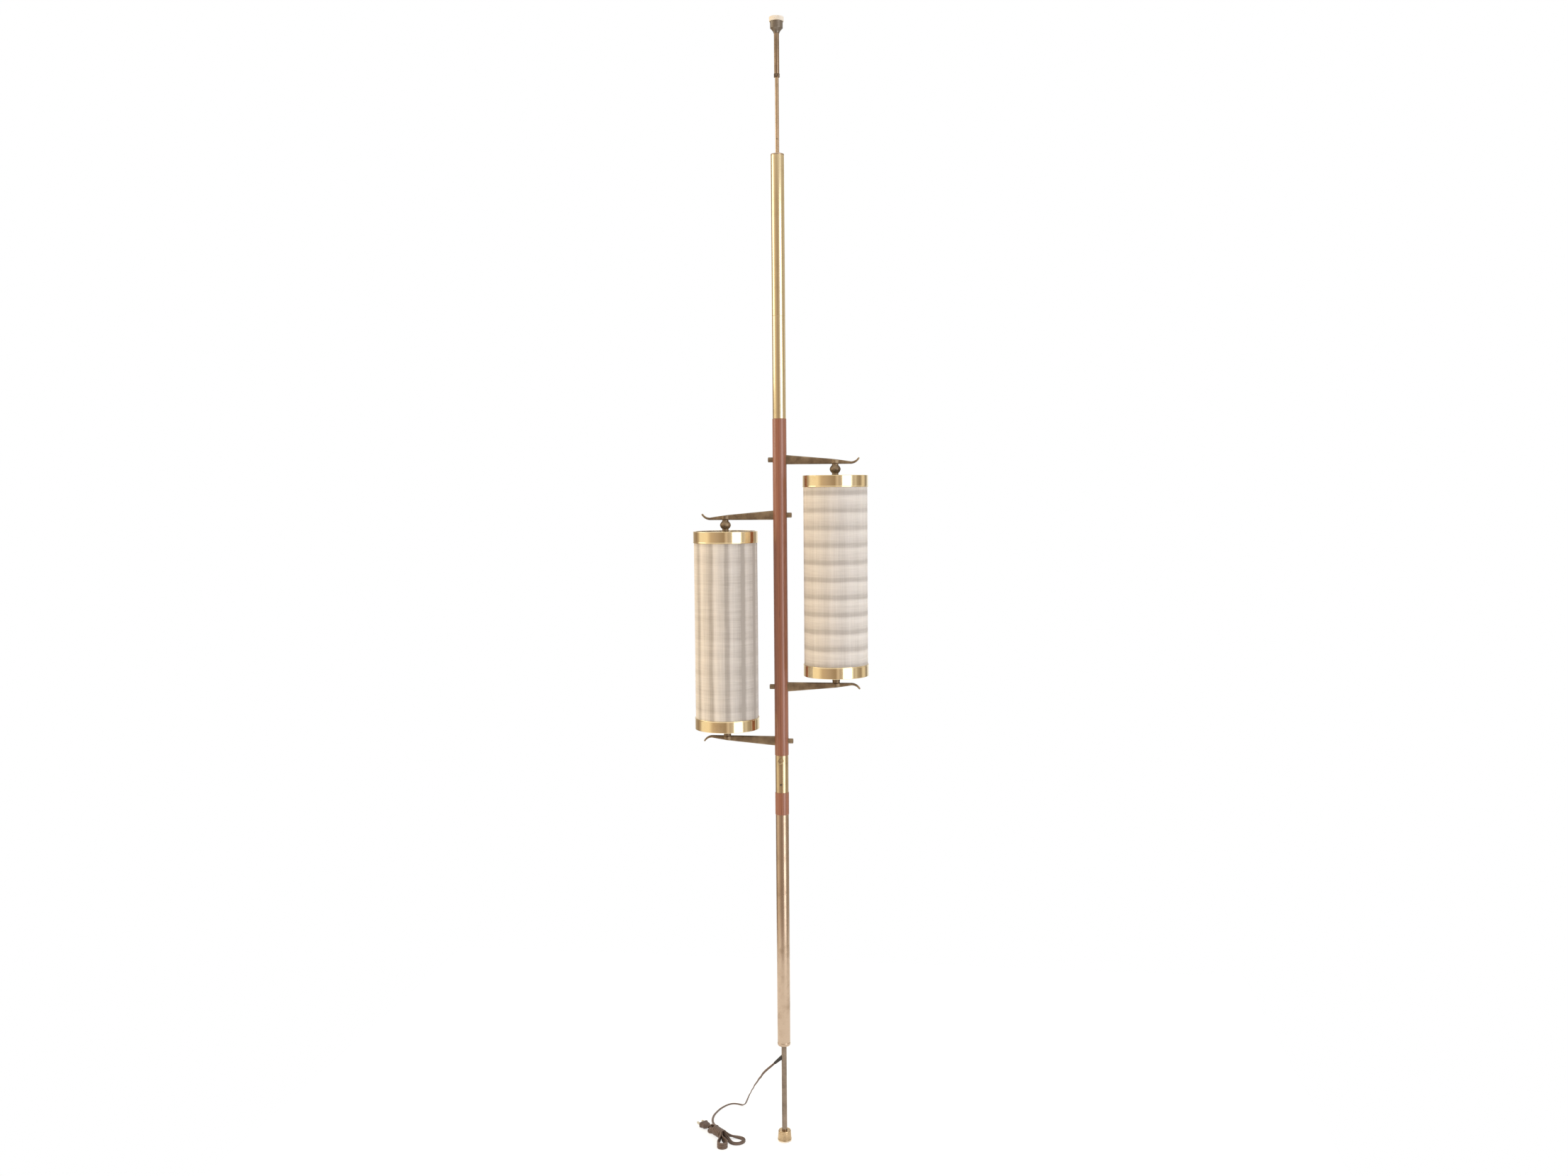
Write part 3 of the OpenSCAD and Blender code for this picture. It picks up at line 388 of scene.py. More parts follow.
def neck(centre, radius, height, side):
    """Where one side of a loop passes half-way out to its fold, drawn in towards the other side."""
    drawn_in = 9
    cross = out_and_across(centre, side)[1]
    return [(*(0.5 * np.array(centre) + (radius - drawn_in) * cross), height)]


# Each loop: centre, radius and height of its far fold; centre, radius and height of the left fold that
# follows it; and where its two runs lie in the waist, to the side and up
right_centre, front_centre = (-43.1, 15.1), (-45.5, -26.3)
hank_loops = [
    (right_centre, 18.4, 2.7, (31, 1.5), 10.4, 2.7, (1.5, 5.5), (4.4, 5.5)),
    (front_centre, 11.0, 2.7, (30, 1.5), 7.6, 2.7, (-4.4, 5.5), (-1.5, 5.5)),
    (right_centre, 15.5, 2.7, (27, 1.5), 10.0, 7.9, (1.5, 10.7), (4.4, 10.7)),
    (front_centre, 11.0, 7.7, (26, 1.5), 7.2, 7.9, (-4.4, 10.7), (-1.5, 10.7)),
    (right_centre, 12.6, 2.7, (23.5, 1), 9.6, 13.1, (1.5, 15.7), (4.4, 15.7)),
    (front_centre, 10.8, 12.7, (22.5, 1), 7.0, 13.1, (-4.4, 15.7), (-1.5, 15.7))]
loop_knots = [[(16.5, 8.0, 1.6), (9, 3.6, 2.8)]]
for far, far_radius, far_height, near, near_radius, near_height, away, back in hank_loops:
    half_high = (away[1] + far_height) / 2
    loop_knots += [
        [(-9, *away)], neck(far, far_radius, half_high, -1), fold(far, far_radius, far_height, -1),
        neck(far, far_radius, half_high, 1), [(-9, *back), (9, *back)],
        fold(near, near_radius, near_height, 1), [(9, *away)]]
# The last run comes back along the near side and turns up into the first of the five turns
loop_knots[-1] = [(11, -8.6, 9.6)]
turn_entry = [(4, -9.2, 7.2), (-3, -9.8, 6.1), (-9, -10.5, 6.0), (-12.7, -11, 7.0), (-15.2, -11.4, 9.6),
              (-16, -11.3, 13.2)]
turns, turn_points, turn_start = 5, 12, 1.9
turn_pitch, turn_half_wide, turn_half_high, turn_square = 5.3, 9.5, 9.1, 0.85
turn_foot, turn_side, turn_level = -14, -2.1, 10.7
turn_angle = (np.arange(turns * turn_points + 1) + turn_start) * tau / turn_points
turn_knots = np.column_stack([
    turn_foot + turn_pitch * turn_angle / tau,
    turn_side - turn_half_wide * squared(np.cos(turn_angle), turn_square),
    turn_level + turn_half_high * squared(np.sin(turn_angle), turn_square)])
plug_run = [(14, -4.4, 19.6), (15, -1.2, 19.8), (17.6, 1.2, 19.5), (21.5, 2.4, 19), (27, 2.4, 18.3),
            (32, 1.8, 17.2), (36, 1.2, 14.9), (40, 0.6, 11.6), (44, 0.1, 8.5), (47.5, 0, 7.1), (50, 0, 7)]
loop_knots = np.vstack(loop_knots)
wound = np.vstack([cord_route, by_hank(np.vstack([loop_knots, turn_entry, turn_knots, plug_run]))])
# Which way the cord's width lies: it turns slowly on the way down, is level on the floor, stands on edge
# in the loops, lies along the spine in the turns and is level again at the plug
route_ahead = unit(np.gradient(cord_route, axis=0))
route_level = unit(np.column_stack([route_ahead[:, 1], -route_ahead[:, 0], 0 * route_ahead[:, 2]]))
twist_at_leg, level_from = 2.2, 19
route_twist = np.interp(np.arange(len(cord_route)), [0, level_from], [twist_at_leg, 0.0])[:, None]
width_run = np.cos(route_twist) * route_level + np.sin(route_twist) * np.cross(route_level, route_ahead)
width_loops = np.tile([0.03, 0.03, 1.0], (len(loop_knots), 1))
width_loops[:2] = [(-0.6, -0.25, 0.6), (-0.25, -0.1, 0.95)]
width_entry = [(*spine * share, 1 - share) for share in (0, 0, 0.05, 0.25, 0.6, 0.9)]
width_turns = np.tile([*spine, 0.0], (len(turn_knots), 1))
width_end = [(*(spine * (1 - share) - beside * share), 0.0) for share in (0.1, 0.45, 0.8, *[1.0] * 8)]
widths = np.vstack([width_run, width_loops, width_entry, width_turns, width_end])
fine_step, bend_spread, cord_step, floor_gap = 0.5, 2.2, 1.6, 0.15
cord_line = smooth_path(np.column_stack([wound, widths]), fine_step)
cord_line = softened(cord_line, fine_step, bend_spread, cord_step)
around = round_angles(20)
pinch_depth, pinch_width = 0.3, 0.3
pinch = 1 - pinch_depth * np.exp(-(np.cos(around) / pinch_width) ** 2)
cord_section = np.column_stack([cord_width / 2 * np.cos(around), cord_thick / 2 * np.sin(around) * pinch])
cord_rings = swept(cord_line[:, :3], cord_line[:, 3:], cord_section)
cord_rings[..., 2] = np.maximum(cord_rings[..., 2], floor_gap)

vinyl = new_finish("cord_vinyl")
dust = vinyl.noise(60, 3)
cord_finish = vinyl.surface(
    base_color=vinyl.mix(dust, (0.105, 0.066, 0.048), (0.19, 0.128, 0.096)),
    roughness=vinyl.rise(dust, 0.3, 0.8, 0.34, 0.52),
    normal=vinyl.relief(vinyl.noise(900, 2), 0.00008, 0.5), specular_ior_level=0.45)
cord = piece("cord", skin(cord_rings), cord_finish, "cord_plastic", "pole", "cord_run", "cord_hank")


# --- Cord bushing ---
# A black bushing, moulded in one with its ribs, sits in a slanted hole in the leg and is coped to the leg.
# It keeps the cord off the metal, and its ribs let it bend.
leg_radius = 5.75
bushing_hole, bushing_tip = np.array([0, 0, 194.0]), cord_route[0]
bushing_axis = unit(bushing_tip - bushing_hole)
bushing_reach = np.linalg.norm(bushing_tip - bushing_hole)
bushing_side = np.array([0.0, 1.0, 0.0])
bushing_up = np.cross(bushing_axis, bushing_side)
wide_end, taper, rib_depth, ribs, plain_end = 4.3, 1.35, 0.32, 7, 0.12
rib_place = np.linspace(0, 1, 61)
rib_wave = rib_depth * np.cos(rib_place * ribs * tau) * (rib_place > plain_end)
rib_radius = wide_end - taper * rib_place + rib_wave
turn_round = round_angles(40)[:, None]
rib_rim = rib_radius[:, None, None] * (bushing_side * np.cos(turn_round) + bushing_up * np.sin(turn_round))
# Every point of the first ring is where its line meets the leg; the others follow in between
leg_meets = (-rib_rim[0, :, 0] - np.sqrt(leg_radius ** 2 - rib_rim[0, :, 1] ** 2)) / bushing_axis[0]
along_bushing = leg_meets + (bushing_reach - leg_meets) * rib_place[:, None]
bushing_rings = bushing_hole + along_bushing[..., None] * bushing_axis + rib_rim
moulded = new_finish("black_moulding")
moulded_finish = moulded.surface(
    base_color=moulded.mix(moulded.noise(150, 3), (0.018, 0.016, 0.014), (0.05, 0.043, 0.038)),
    roughness=0.5, normal=moulded.relief(moulded.noise(1500, 2), 0.00005, 0.4))
bushing = piece("cord_bushing_ribbed", skin(bushing_rings), moulded_finish, "dark_plastic", "pole",
                "cord_bushing")


# --- Plug ---
# A brown two-blade plug, moulded on the cord's end with a waisted grip for the fingers, that lies on the
# floor. Its flat blades are of plated brass.
plug_start, plug_end, plug_level = 42.0, 65.0, 7.0
grip_start, grip_end, grip_depth, grip_rate, plug_square = 50, 61, 0.035, 2.6, 0.55
plug_place = [0.0, 0.04, 0.12, 0.25, 0.40, 0.55, 0.68, 0.80, 0.90, 0.97, 1.0, 1.0, 1.0]
plug_half_width = [2.9, 3.3, 4.2, 7.0, 9.2, 9.4, 9.0, 10.2, 11.3, 11.6, 11.2, 9.0, 0.5]
plug_half_thick = [2.0, 2.3, 2.8, 4.4, 5.8, 6.0, 5.8, 6.4, 6.9, 6.9, 6.5, 5.0, 0.3]
fine_place, knot_place = np.linspace(0, 1, 97)[:, None], np.linspace(0, 1, len(plug_place))
plug_along = plug_start + (plug_end - plug_start) * np.interp(fine_place, knot_place, plug_place)
plug_round = round_angles(48)
plug_wide = np.interp(fine_place, knot_place, plug_half_width) * squared(np.cos(plug_round), plug_square)
gripped = (plug_along > grip_start) * (plug_along < grip_end)
plug_tall = (np.interp(fine_place, knot_place, plug_half_thick) * squared(np.sin(plug_round), plug_square)
             * (1 - grip_depth * np.cos(plug_along * grip_rate) * gripped))


def blade(aside):
    """A flat blade 6.3 wide and 1.5 thick whose end is rounded in side view, at a distance to one side."""
    reach = np.array([63.0, 73.0, 77.0, 79.6, 80.7, 81.0])[:, None]
    half_tall = np.array([3.15, 3.15, 3.15, 2.3, 1.4, 0.2])[:, None]
    half_thick = np.array([0.75, 0.75, 0.75, 0.6, 0.4, 0.15])[:, None]
    corner, blade_square = round_angles(16), 0.2
    return skin(by_hank(points_of(reach, aside + half_thick * squared(np.cos(corner), blade_square),
                                  plug_level + half_tall * squared(np.sin(corner), blade_square))))


bakelite = new_finish("plug_brown")
swirl = bakelite.noise(120, 3, distortion=1.2)
plug_finish = bakelite.surface(
    base_color=bakelite.mix(swirl, (0.075, 0.045, 0.035), (0.14, 0.088, 0.066)), roughness=0.36,
    normal=bakelite.relief(bakelite.noise(1200, 2), 0.00005, 0.4))
plug = piece("plug_body", skin(by_hank(points_of(plug_along, plug_wide, plug_level + plug_tall))),
             plug_finish, "plug_plastic", "pole", "plug")


def brass(name, bright, dull, roughness, tarnish, brushed=(1, 1, 0.02)):
    """Plated or lacquered brass whose colour goes from bright to dull in a fine haze of tarnish, a share
    from 0 to 1, brushed along the axis in which the stretch is small."""
    metal = new_finish(name)
    haze = metal.rise(metal.noise(28, 4, roughness=0.65), 0.62 - tarnish * 0.5, 0.95 - tarnish * 0.4)
    strokes = metal.noise(1400, 2, brushed)
    spots = metal.rise(metal.noise(190, 3), 0.66, 0.76)
    worn = metal.mix(haze, bright, dull)
    return metal.surface(
        base_color=metal.mix(spots * (0.1 + 0.3 * tarnish), worn, dull), metallic=1.0,
        roughness=roughness * (0.75 + 0.35 * strokes + 0.5 * haze),
        normal=metal.relief(strokes, 0.000012, 0.3))


blade_metal = brass("blade_metal", (0.60, 0.53, 0.40), (0.36, 0.29, 0.21), 0.30, 0.5, (1, 1, 1))
blade_aside = 6.35
blades = piece("plug_blades", together(blade(-blade_aside), blade(blade_aside)), blade_metal, "plug_plastic",
               "pole")


# --- Foot ---
# A flared cup of spun brass holds the end of the leg. The pale rubber pad that is let into it from below
# stands on the floor.
def eased(corners, radius, closed):
    """A profile with its corners rounded: each is swapped for a short curve of five points that starts
    and ends radius away from it, or nearly half an edge away where the edge is short."""
    corners = np.asarray(corners, float)
    before, after = np.roll(corners, 1, 0) - corners, np.roll(corners, -1, 0) - corners
    long_before = np.linalg.norm(before, axis=1, keepdims=True)
    long_after = np.linalg.norm(after, axis=1, keepdims=True)
    start = corners + before / long_before * np.minimum(radius, 0.45 * long_before)
    end = corners + after / long_after * np.minimum(radius, 0.45 * long_after)
    t = np.linspace(0, 1, 5)[:, None, None]
    curve = ((1 - t) ** 2 * start + 2 * t * (1 - t) * corners + t ** 2 * end).transpose(1, 0, 2)
    if closed:
        return curve.reshape(-1, 2)
    return np.vstack([corners[:1], curve[1:-1].reshape(-1, 2), corners[-1:]])


def turned(corners, radius, x=0.0, closed=True, sides=72, facets=None):
    """A turned form: a profile of (radius, height) corners, eased, carried round the upright axis at x.
    facets, a function of radius, angle and height, changes the radius round the axis."""
    profile = eased(corners, radius, closed)
    angle = round_angles(sides)
    out = profile[:, :1] + 0 * angle
    if facets:
        out = facets(out, angle[None], profile[:, 1:])
    return skin(points_of(x + out * np.cos(angle), out * np.sin(angle), profile[:, 1:]), closed)


def pad_rubber(name, pale, stained):
    """Matt rubber with a fine grain, stained in places."""
    rubber = new_finish(name)
    stain = rubber.noise(90, 4, roughness=0.7)
    return rubber.surface(
        base_color=rubber.mix(rubber.rise(stain, 0.4, 0.75), pale, stained),
        roughness=0.8, normal=rubber.relief(rubber.noise(900, 3), 0.0001, 0.5))


# A turned form that is closed on its axis starts and ends this near to it
axis_hole = 0.05
piece("foot_pad_rubber",
      turned([(axis_hole, 0), (15.0, 0), (15.4, 3), (13.8, 3), (13.8, 6), (axis_hole, 6)], 0.7, closed=False),
      pad_rubber("foot_rubber", (0.90, 0.82, 0.70), (0.80, 0.66, 0.48)), "foot_pad", "pole", "foot_pad")
leg_bore = 5.87
foot_brass = brass("foot_brass", (0.62, 0.45, 0.26), (0.34, 0.235, 0.135), 0.26, 0.5)
piece("foot_cup_spun",
      turned([(13.9, 3), (15.5, 3), (15.55, 5.2), (15.15, 5.9), (14.6, 12), (14.1, 18.6), (13.85, 19.0),
              (13.85, 19.6), (14.05, 20.0), (13.9, 22.4), (13.1, 24), (leg_bore, 24), (leg_bore, 12),
              (13.9, 6.1)], 0.5),
      foot_brass, "aged_brass", "pole", "foot_cup")


# --- Leg and lower tube ---
# The thin leg, a drawn brass tube, goes up through the rolled end cap of the wider lower tube and is held
# by a nut inside it. The nuts, joiners and pipe inside the pole are of zinc-plated steel.
def dress(finish, *nodes):
    """Gives CAD nodes that keep their own shape a finish."""
    for node in nodes:
        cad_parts[node].material_slots[0].material = finish


zinc = new_finish("zinc_steel")
spangle = zinc.node("TexVoronoi", None, {"Vector": zinc.place(), "Scale": 160.0})
zinc_steel = zinc.surface(
    base_color=zinc.mix(spangle, (0.52, 0.52, 0.50), (0.68, 0.68, 0.66)), metallic=1.0,
    roughness=0.3 + 0.12 * zinc.noise(300, 2), normal=zinc.relief(zinc.noise(700, 2), 0.00004, 0.4))
leg_brass = brass("leg_brass", (0.31, 0.24, 0.185), (0.18, 0.135, 0.10), 0.28, 0.5)
dress(leg_brass, "leg_tube")
dress(zinc_steel, "leg_nut", "lower_joiner", "centre_pipe", "pipe_flanges", "pipe_nuts", "tube_joiner",
      "spring_seat", "spring_washer", "arm_studs")
dress(moulded_finish, "wiring", "switch_body")
aged_brass = brass("aged_brass", (0.57, 0.435, 0.32), (0.42, 0.305, 0.21), 0.24, 0.4)
piece("lower_end_cap_rolled",
      turned([(leg_bore, 217), (11.2, 217), (13.4, 217.6), (14.45, 219.8), (14.45, 224.0), (13.9, 224.7),
              (13.9, 225.3), (13.2, 225.3), (13.2, 237), (leg_bore, 237)], 0.9),
      aged_brass, "aged_brass", "pole", "lower_end_cap")


def tube(name, low, high, outer, inner, finish, slot, node, ease=0.3):
    """A straight tube between two heights with eased ends."""
    piece(name, turned([(inner, low), (outer, low), (outer, high), (inner, high)], ease, sides=96), finish,
          slot, "pole", node)


tube_radius, tube_bore = 14.3, 13.3
lower_foot, lower_top = 225, 736
tube("lower_tube_brass", lower_foot, lower_top, tube_radius, tube_bore, aged_brass, "aged_brass",
     "lower_tube")


# --- Walnut ring and pole ---
# Straight-grained walnut, turned a little wider than the tubes, with softened ends and satin lacquer. A
# joiner inside the ring and a pipe through the pole hold them to the tubes.
timber = new_finish("walnut")
bands_of_growth = timber.node("TexWave", {"wave_type": "BANDS", "bands_direction": "X"}, {
    "Vector": timber.place((1, 1, 0.045)), "Scale": 62.0, "Distortion": 5.0, "Detail": 3.0,
    "Detail Scale": 1.6, "Detail Roughness": 0.6}, 1)
figure = timber.noise(26, 4, (1, 1, 0.06), 0.6)
pores = timber.rise(timber.noise(900, 2, (1, 1, 0.03)), 0.58, 0.70)
heart = timber.mix(timber.rise(bands_of_growth, 0.1, 0.9), (0.285, 0.105, 0.056), (0.35, 0.134, 0.075))
heart = timber.mix(timber.rise(figure, 0.35, 0.75) * 0.5, heart, (0.32, 0.125, 0.073))
walnut = timber.surface(
    base_color=timber.mix(pores * 0.4, heart, (0.11, 0.038, 0.020)),
    roughness=0.36 + 0.14 * pores, coat_weight=0.75, coat_roughness=0.16,
    normal=timber.relief(pores * -1.0 + bands_of_growth * 0.1, 0.00008, 0.45))
walnut_radius, ring_bore, pole_bore, walnut_ease = 15.1, 13.35, 7.2, 0.9
ring_top, walnut_foot, walnut_top = 785, 867, 1597
tube("walnut_ring_turned", lower_top, ring_top, walnut_radius, ring_bore, walnut, "walnut", "walnut_ring",
     walnut_ease)
tube("walnut_pole_turned", walnut_foot, walnut_top, walnut_radius, pole_bore, walnut, "walnut", "walnut_pole",
     walnut_ease)


# --- Switch section ---
# A brass sleeve between the walnut pieces, with a rotary switch behind a round nut and a fluted knob, and
# a slotted screw below it.
switch_brass = brass("switch_brass", (0.67, 0.53, 0.33), (0.50, 0.38, 0.23), 0.18, 0.3)
tube("switch_housing_brass", ring_top, walnut_foot, tube_radius, tube_bore, switch_brass, "pole_brass",
     "switch_housing")
switch_level, screw_level = 856.0, 803.0


def facing_front(form, level):
    """Turns a form made along +Z so that it points to the front, -Y, at a height."""
    points, faces = form
    return np.column_stack([points[:, 0], -points[:, 2], level + points[:, 1]]), faces


def knurled(teeth, depth, low, high):
    """Facets for turned(): teeth round the rim, in a squared cosine, between two heights."""
    return lambda out, angle, height: out - depth * (0.5 + 0.5 * np.cos(teeth * angle)) ** 2 * (
        (height > low) & (height < high) & (out > 0.6 * out.max()))


piece("switch_nut_round",
      facing_front(turned([(4.5, 14.28), (6, 14.28), (6, 16.3), (4.5, 16.3)], 0.35, sides=144,
                          facets=knurled(36, 0.25, 14.6, 16.0)), switch_level),
      switch_brass, "pole_brass", "pole", "switch_nut")
knob_brass = brass("knob_brass", (0.62, 0.48, 0.29), (0.30, 0.21, 0.12), 0.26, 0.5, (1, 0.02, 1))
piece("switch_knob_fluted",
      facing_front(turned([(2.4, 6), (2.4, 18), (5.0, 18), (5.4, 18.6), (5.4, 27.2), (4.6, 28.4), (3.5, 28.5),
                           (3.2, 28.1), (2.2, 28.25), (axis_hole, 28.4)], 0.25, closed=False, sides=216,
                          facets=knurled(18, 0.5, 19.6, 27.6)), switch_level),
      knob_brass, "knob_brass", "switch_key", "switch_knob")


def slotted_head(radius, height, base, slot_half):
    """A round screw head on a stalk: an ellipse's arc over rings, less a groove with steep soft sides."""
    ring = np.concatenate([np.full(2, radius), np.linspace(radius, 0.02, 40)])[:, None]
    angle = round_angles(96)
    wider, steepness, slot_depth, stalk = 1.06, 22, 0.55, 4
    dome = height * np.sqrt(np.maximum(0, 1 - (ring / (radius * wider)) ** 2))
    groove = 1 / (1 + np.exp((np.abs(ring * np.cos(angle)) - slot_half) * steepness))
    high = base + dome - groove * np.minimum(dome, slot_depth * height)
    high[0] = base - stalk
    return skin(points_of(ring * np.cos(angle), ring * np.sin(angle), high))


dark_bronze = brass("dark_bronze", (0.26, 0.19, 0.13), (0.12, 0.085, 0.06), 0.36, 0.6)
piece("housing_screw_slotted", facing_front(slotted_head(2.7, 1.5, 14.4, 0.42), screw_level), dark_bronze,
      "dark_bronze", "pole", "housing_screw")


# --- Upper tubes and bush ---
# Two drawn tubes of pale lacquered brass meet at a joiner inside them. A bush, turned in darker brass,
# closes the upper one and guides the rod.
pole_brass = brass("pole_brass", (0.87, 0.73, 0.46), (0.69, 0.55, 0.33), 0.18, 0.22)
joint_level, joint_gap, tube_top, tube_ease = 1814.5, 0.1, 2152, 0.45
tube("mid_tube_brass", walnut_top, joint_level - joint_gap, tube_radius, tube_bore, pole_brass, "pole_brass",
     "mid_tube", tube_ease)
tube("upper_tube_brass", joint_level + joint_gap, tube_top, tube_radius, tube_bore, pole_brass, "pole_brass",
     "upper_tube", tube_ease)
rod_bore = 4.16
piece("top_bush_turned",
      turned([(rod_bore, 2138), (13.2, 2138), (13.2, tube_top), (14.3, tube_top), (14.45, 2153.2),
              (13.9, 2155), (6.4, 2155), (5.6, 2154.4), (rod_bore, 2154.4)], 0.45),
      aged_brass, "aged_brass", "pole", "top_bush")


# --- Spring ---
# A steel compression spring with closed end turns stands on its seat in the upper tube and pushes the
# washer up. It shortens as the plunger goes down, while its foot stays on the seat.
spring_foot, spring_top = 1848.6, 2133.6
coil_radius, wire_radius, coil_turns = 10.0, 1.1, 27
closed_turns, closed_rise = 1.25, 3
spring_length = spring_top - spring_foot
coil_turn = np.arange(coil_turns * 36 + 1) / 36
coil_low, coil_top = wire_radius, spring_length - wire_radius
coil_high = np.interp(coil_turn, [0, closed_turns, coil_turns - closed_turns, coil_turns],
                      [coil_low, coil_low + closed_rise, coil_top - closed_rise, coil_top])
coil_out = np.column_stack([np.cos(coil_turn * tau), np.sin(coil_turn * tau), 0 * coil_turn])
coil_path = coil_radius * coil_out + (spring_foot + coil_high[:, None]) * [[0, 0, 1]]
wire_round = round_angles(10)
wire_section = wire_radius * np.column_stack([np.cos(wire_round), np.sin(wire_round)])
spring = piece("spring_wound", skin(swept(coil_path, coil_out, wire_section)), zinc_steel, "zinc_steel",
               "plunger", "spring")
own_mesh(spring)


# --- Plunger ---
# A thin rod of drawn brass rests on the spring by its washer and comes out through the bush. A cross pin
# keeps it from going too far in.
def solid_rod(radius, low, high, ease, sides):
    """A turned rod between two heights."""
    return turned([(axis_hole, low), (radius, low), (radius, high), (axis_hole, high)], ease, closed=False,
                  sides=sides)


rod_brass = brass("rod_brass", (0.62, 0.46, 0.31), (0.42, 0.31, 0.20), 0.24, 0.4)
piece("plunger_rod_drawn", solid_rod(4.1, 2023.7, 2354, 0.6, 56), rod_brass, "leg_brass", "plunger",
      "plunger_rod")
pin_level = 2186
piece("stop_pin_round", facing_front(solid_rod(1.5, -6.2, 6.2, 0.5, 32), pin_level), dark_bronze,
      "zinc_steel", "plunger", "stop_pin")


# --- Sleeve, collar and ceiling cup ---
# A drawn brass sleeve slides on the rod and is locked by a knurled collar. It carries a spun, enamelled
# cup with a pale rubber pad that presses on the ceiling.
sleeve_radius, sleeve_foot, sleeve_top = 5.5, 2314, 2413
sleeve_brass = brass("sleeve_brass", (0.40, 0.29, 0.195), (0.25, 0.18, 0.12), 0.28, 0.5)
piece("top_sleeve_drawn",
      turned([(rod_bore, sleeve_foot), (sleeve_radius, sleeve_foot), (sleeve_radius, sleeve_top),
              (rod_bore, sleeve_top)], 0.3, sides=56),
      sleeve_brass, "leg_brass", "ceiling_head", "top_sleeve")


def diamond_knurl(out, angle, height):
    """Facets for turned(): crossed left and right helical grooves on the middle of the collar."""
    starts, lead, depth, low, high = 18, 2.2, 0.3, 2315.2, 2320.4
    cut = np.maximum(np.cos(starts * angle + lead * height), np.cos(starts * angle - lead * height)) ** 2
    return out - depth * cut * ((height > low) & (height < high) & (out > 6))


collar_radius, collar_chamfer, collar_top = 6.2, 5.9, 2321.5
collar_rows = [(collar_radius, z) for z in (2314.5, *np.arange(2315.1, 2320.7, 0.4), 2321.1)]
piece("lock_collar_knurled",
      turned([(sleeve_radius, sleeve_foot), (collar_chamfer, sleeve_foot), *collar_rows,
              (collar_chamfer, collar_top), (sleeve_radius, collar_top)], 0.12, sides=144,
             facets=diamond_knurl),
      dark_bronze, "dark_bronze", "ceiling_head", "lock_collar")
enamel = new_finish("cup_enamel")
hammered = enamel.node("TexVoronoi", {"feature": "SMOOTH_F1"}, {"Vector": enamel.place(), "Scale": 420.0})
cup_enamel = enamel.surface(
    base_color=enamel.mix(enamel.noise(60, 3), (0.17, 0.138, 0.105), (0.28, 0.235, 0.185)),
    roughness=0.34, metallic=0.6, coat_weight=0.3, coat_roughness=0.3,
    normal=enamel.relief(hammered, 0.0002, 0.35))
cup_neck = [(6.5 + 6.9 * rise ** 1.6, 2405.6 + 9.4 * rise) for rise in np.linspace(0, 1, 12)]
piece("ceiling_cup_spun",
      turned([(sleeve_radius, 2405), (6.2, 2405), *cup_neck, (13.5, 2416), (13.5, 2426.6), (13.8, 2427.2),
              (13.8, 2428.4), (13.3, 2429), (11.9, 2429), (11.9, 2423), (sleeve_radius, sleeve_top)], 0.35),
      cup_enamel, "cup_paint", "ceiling_head", "ceiling_cup")
piece("ceiling_pad_rubber",
      turned([(axis_hole, 2423), (11.8, 2423), (11.8, 2429), (15.3, 2429), (15.5, 2437.4), (15.2, 2438),
              (axis_hole, 2438)], 0.6, closed=False),
      pad_rubber("ceiling_rubber", (0.93, 0.87, 0.78), (0.84, 0.75, 0.62)), "ceiling_pad", "ceiling_head",
      "ceiling_pad")


# --- Arms ---
# Four cast arms in dark antique brass. Each tapers from its coped end on the walnut to a tip that curls
# away from the shade, and widens to a boss over the pivot.
def arm_finish():
    """Antique brass: brown in the hollows, rubbed to a duller gold along the edges that the mark names."""
    metal = new_finish("antique_brass")
    edge_mark = metal.node("Attribute", {"attribute_name": "rubbed"}, output=2)
    cloud = metal.noise(45, 5, roughness=0.65)
    rubbed = metal.rise(edge_mark + (cloud - 0.5) * 0.7, 0.55, 1.0)
    tone = metal.mix(metal.rise(cloud, 0.3, 0.7), (0.20, 0.14, 0.088), (0.37, 0.275, 0.175))
    return metal.surface(
        base_color=metal.mix(rubbed * 0.8, tone, (0.56, 0.43, 0.27)), metallic=0.8,
        roughness=0.44 - 0.14 * rubbed + 0.1 * cloud,
        normal=metal.relief(metal.noise(260, 3), 0.00008, 0.4))


antique_brass = arm_finish()
sides = ((1, "right"), (-1, "left"))
shade_reach, shade_height, shade_tops = 120.0, 432.0, {1: 1475.0, -1: 1356.0}
over_shade, under_shade = 24, 16
arc_start, curl_radius, curl_angle = 153.0, 22.0, radians(60)
root_height, root_half_wide, slope, sag, sag_start = 20.0, 6.0, 0.0896, 0.0008, 100
boss_radius, tip_thick, tip_reach, narrowing = 7.4, 3.6, 175, 2.75
corner_square, cope_length, tip_round, tip_closed, boss_blend = 0.42, 14, 0.6, 0.9985, 6
curl_rub_start, curl_rub_reach, curl_rub = 150, 20, 0.8


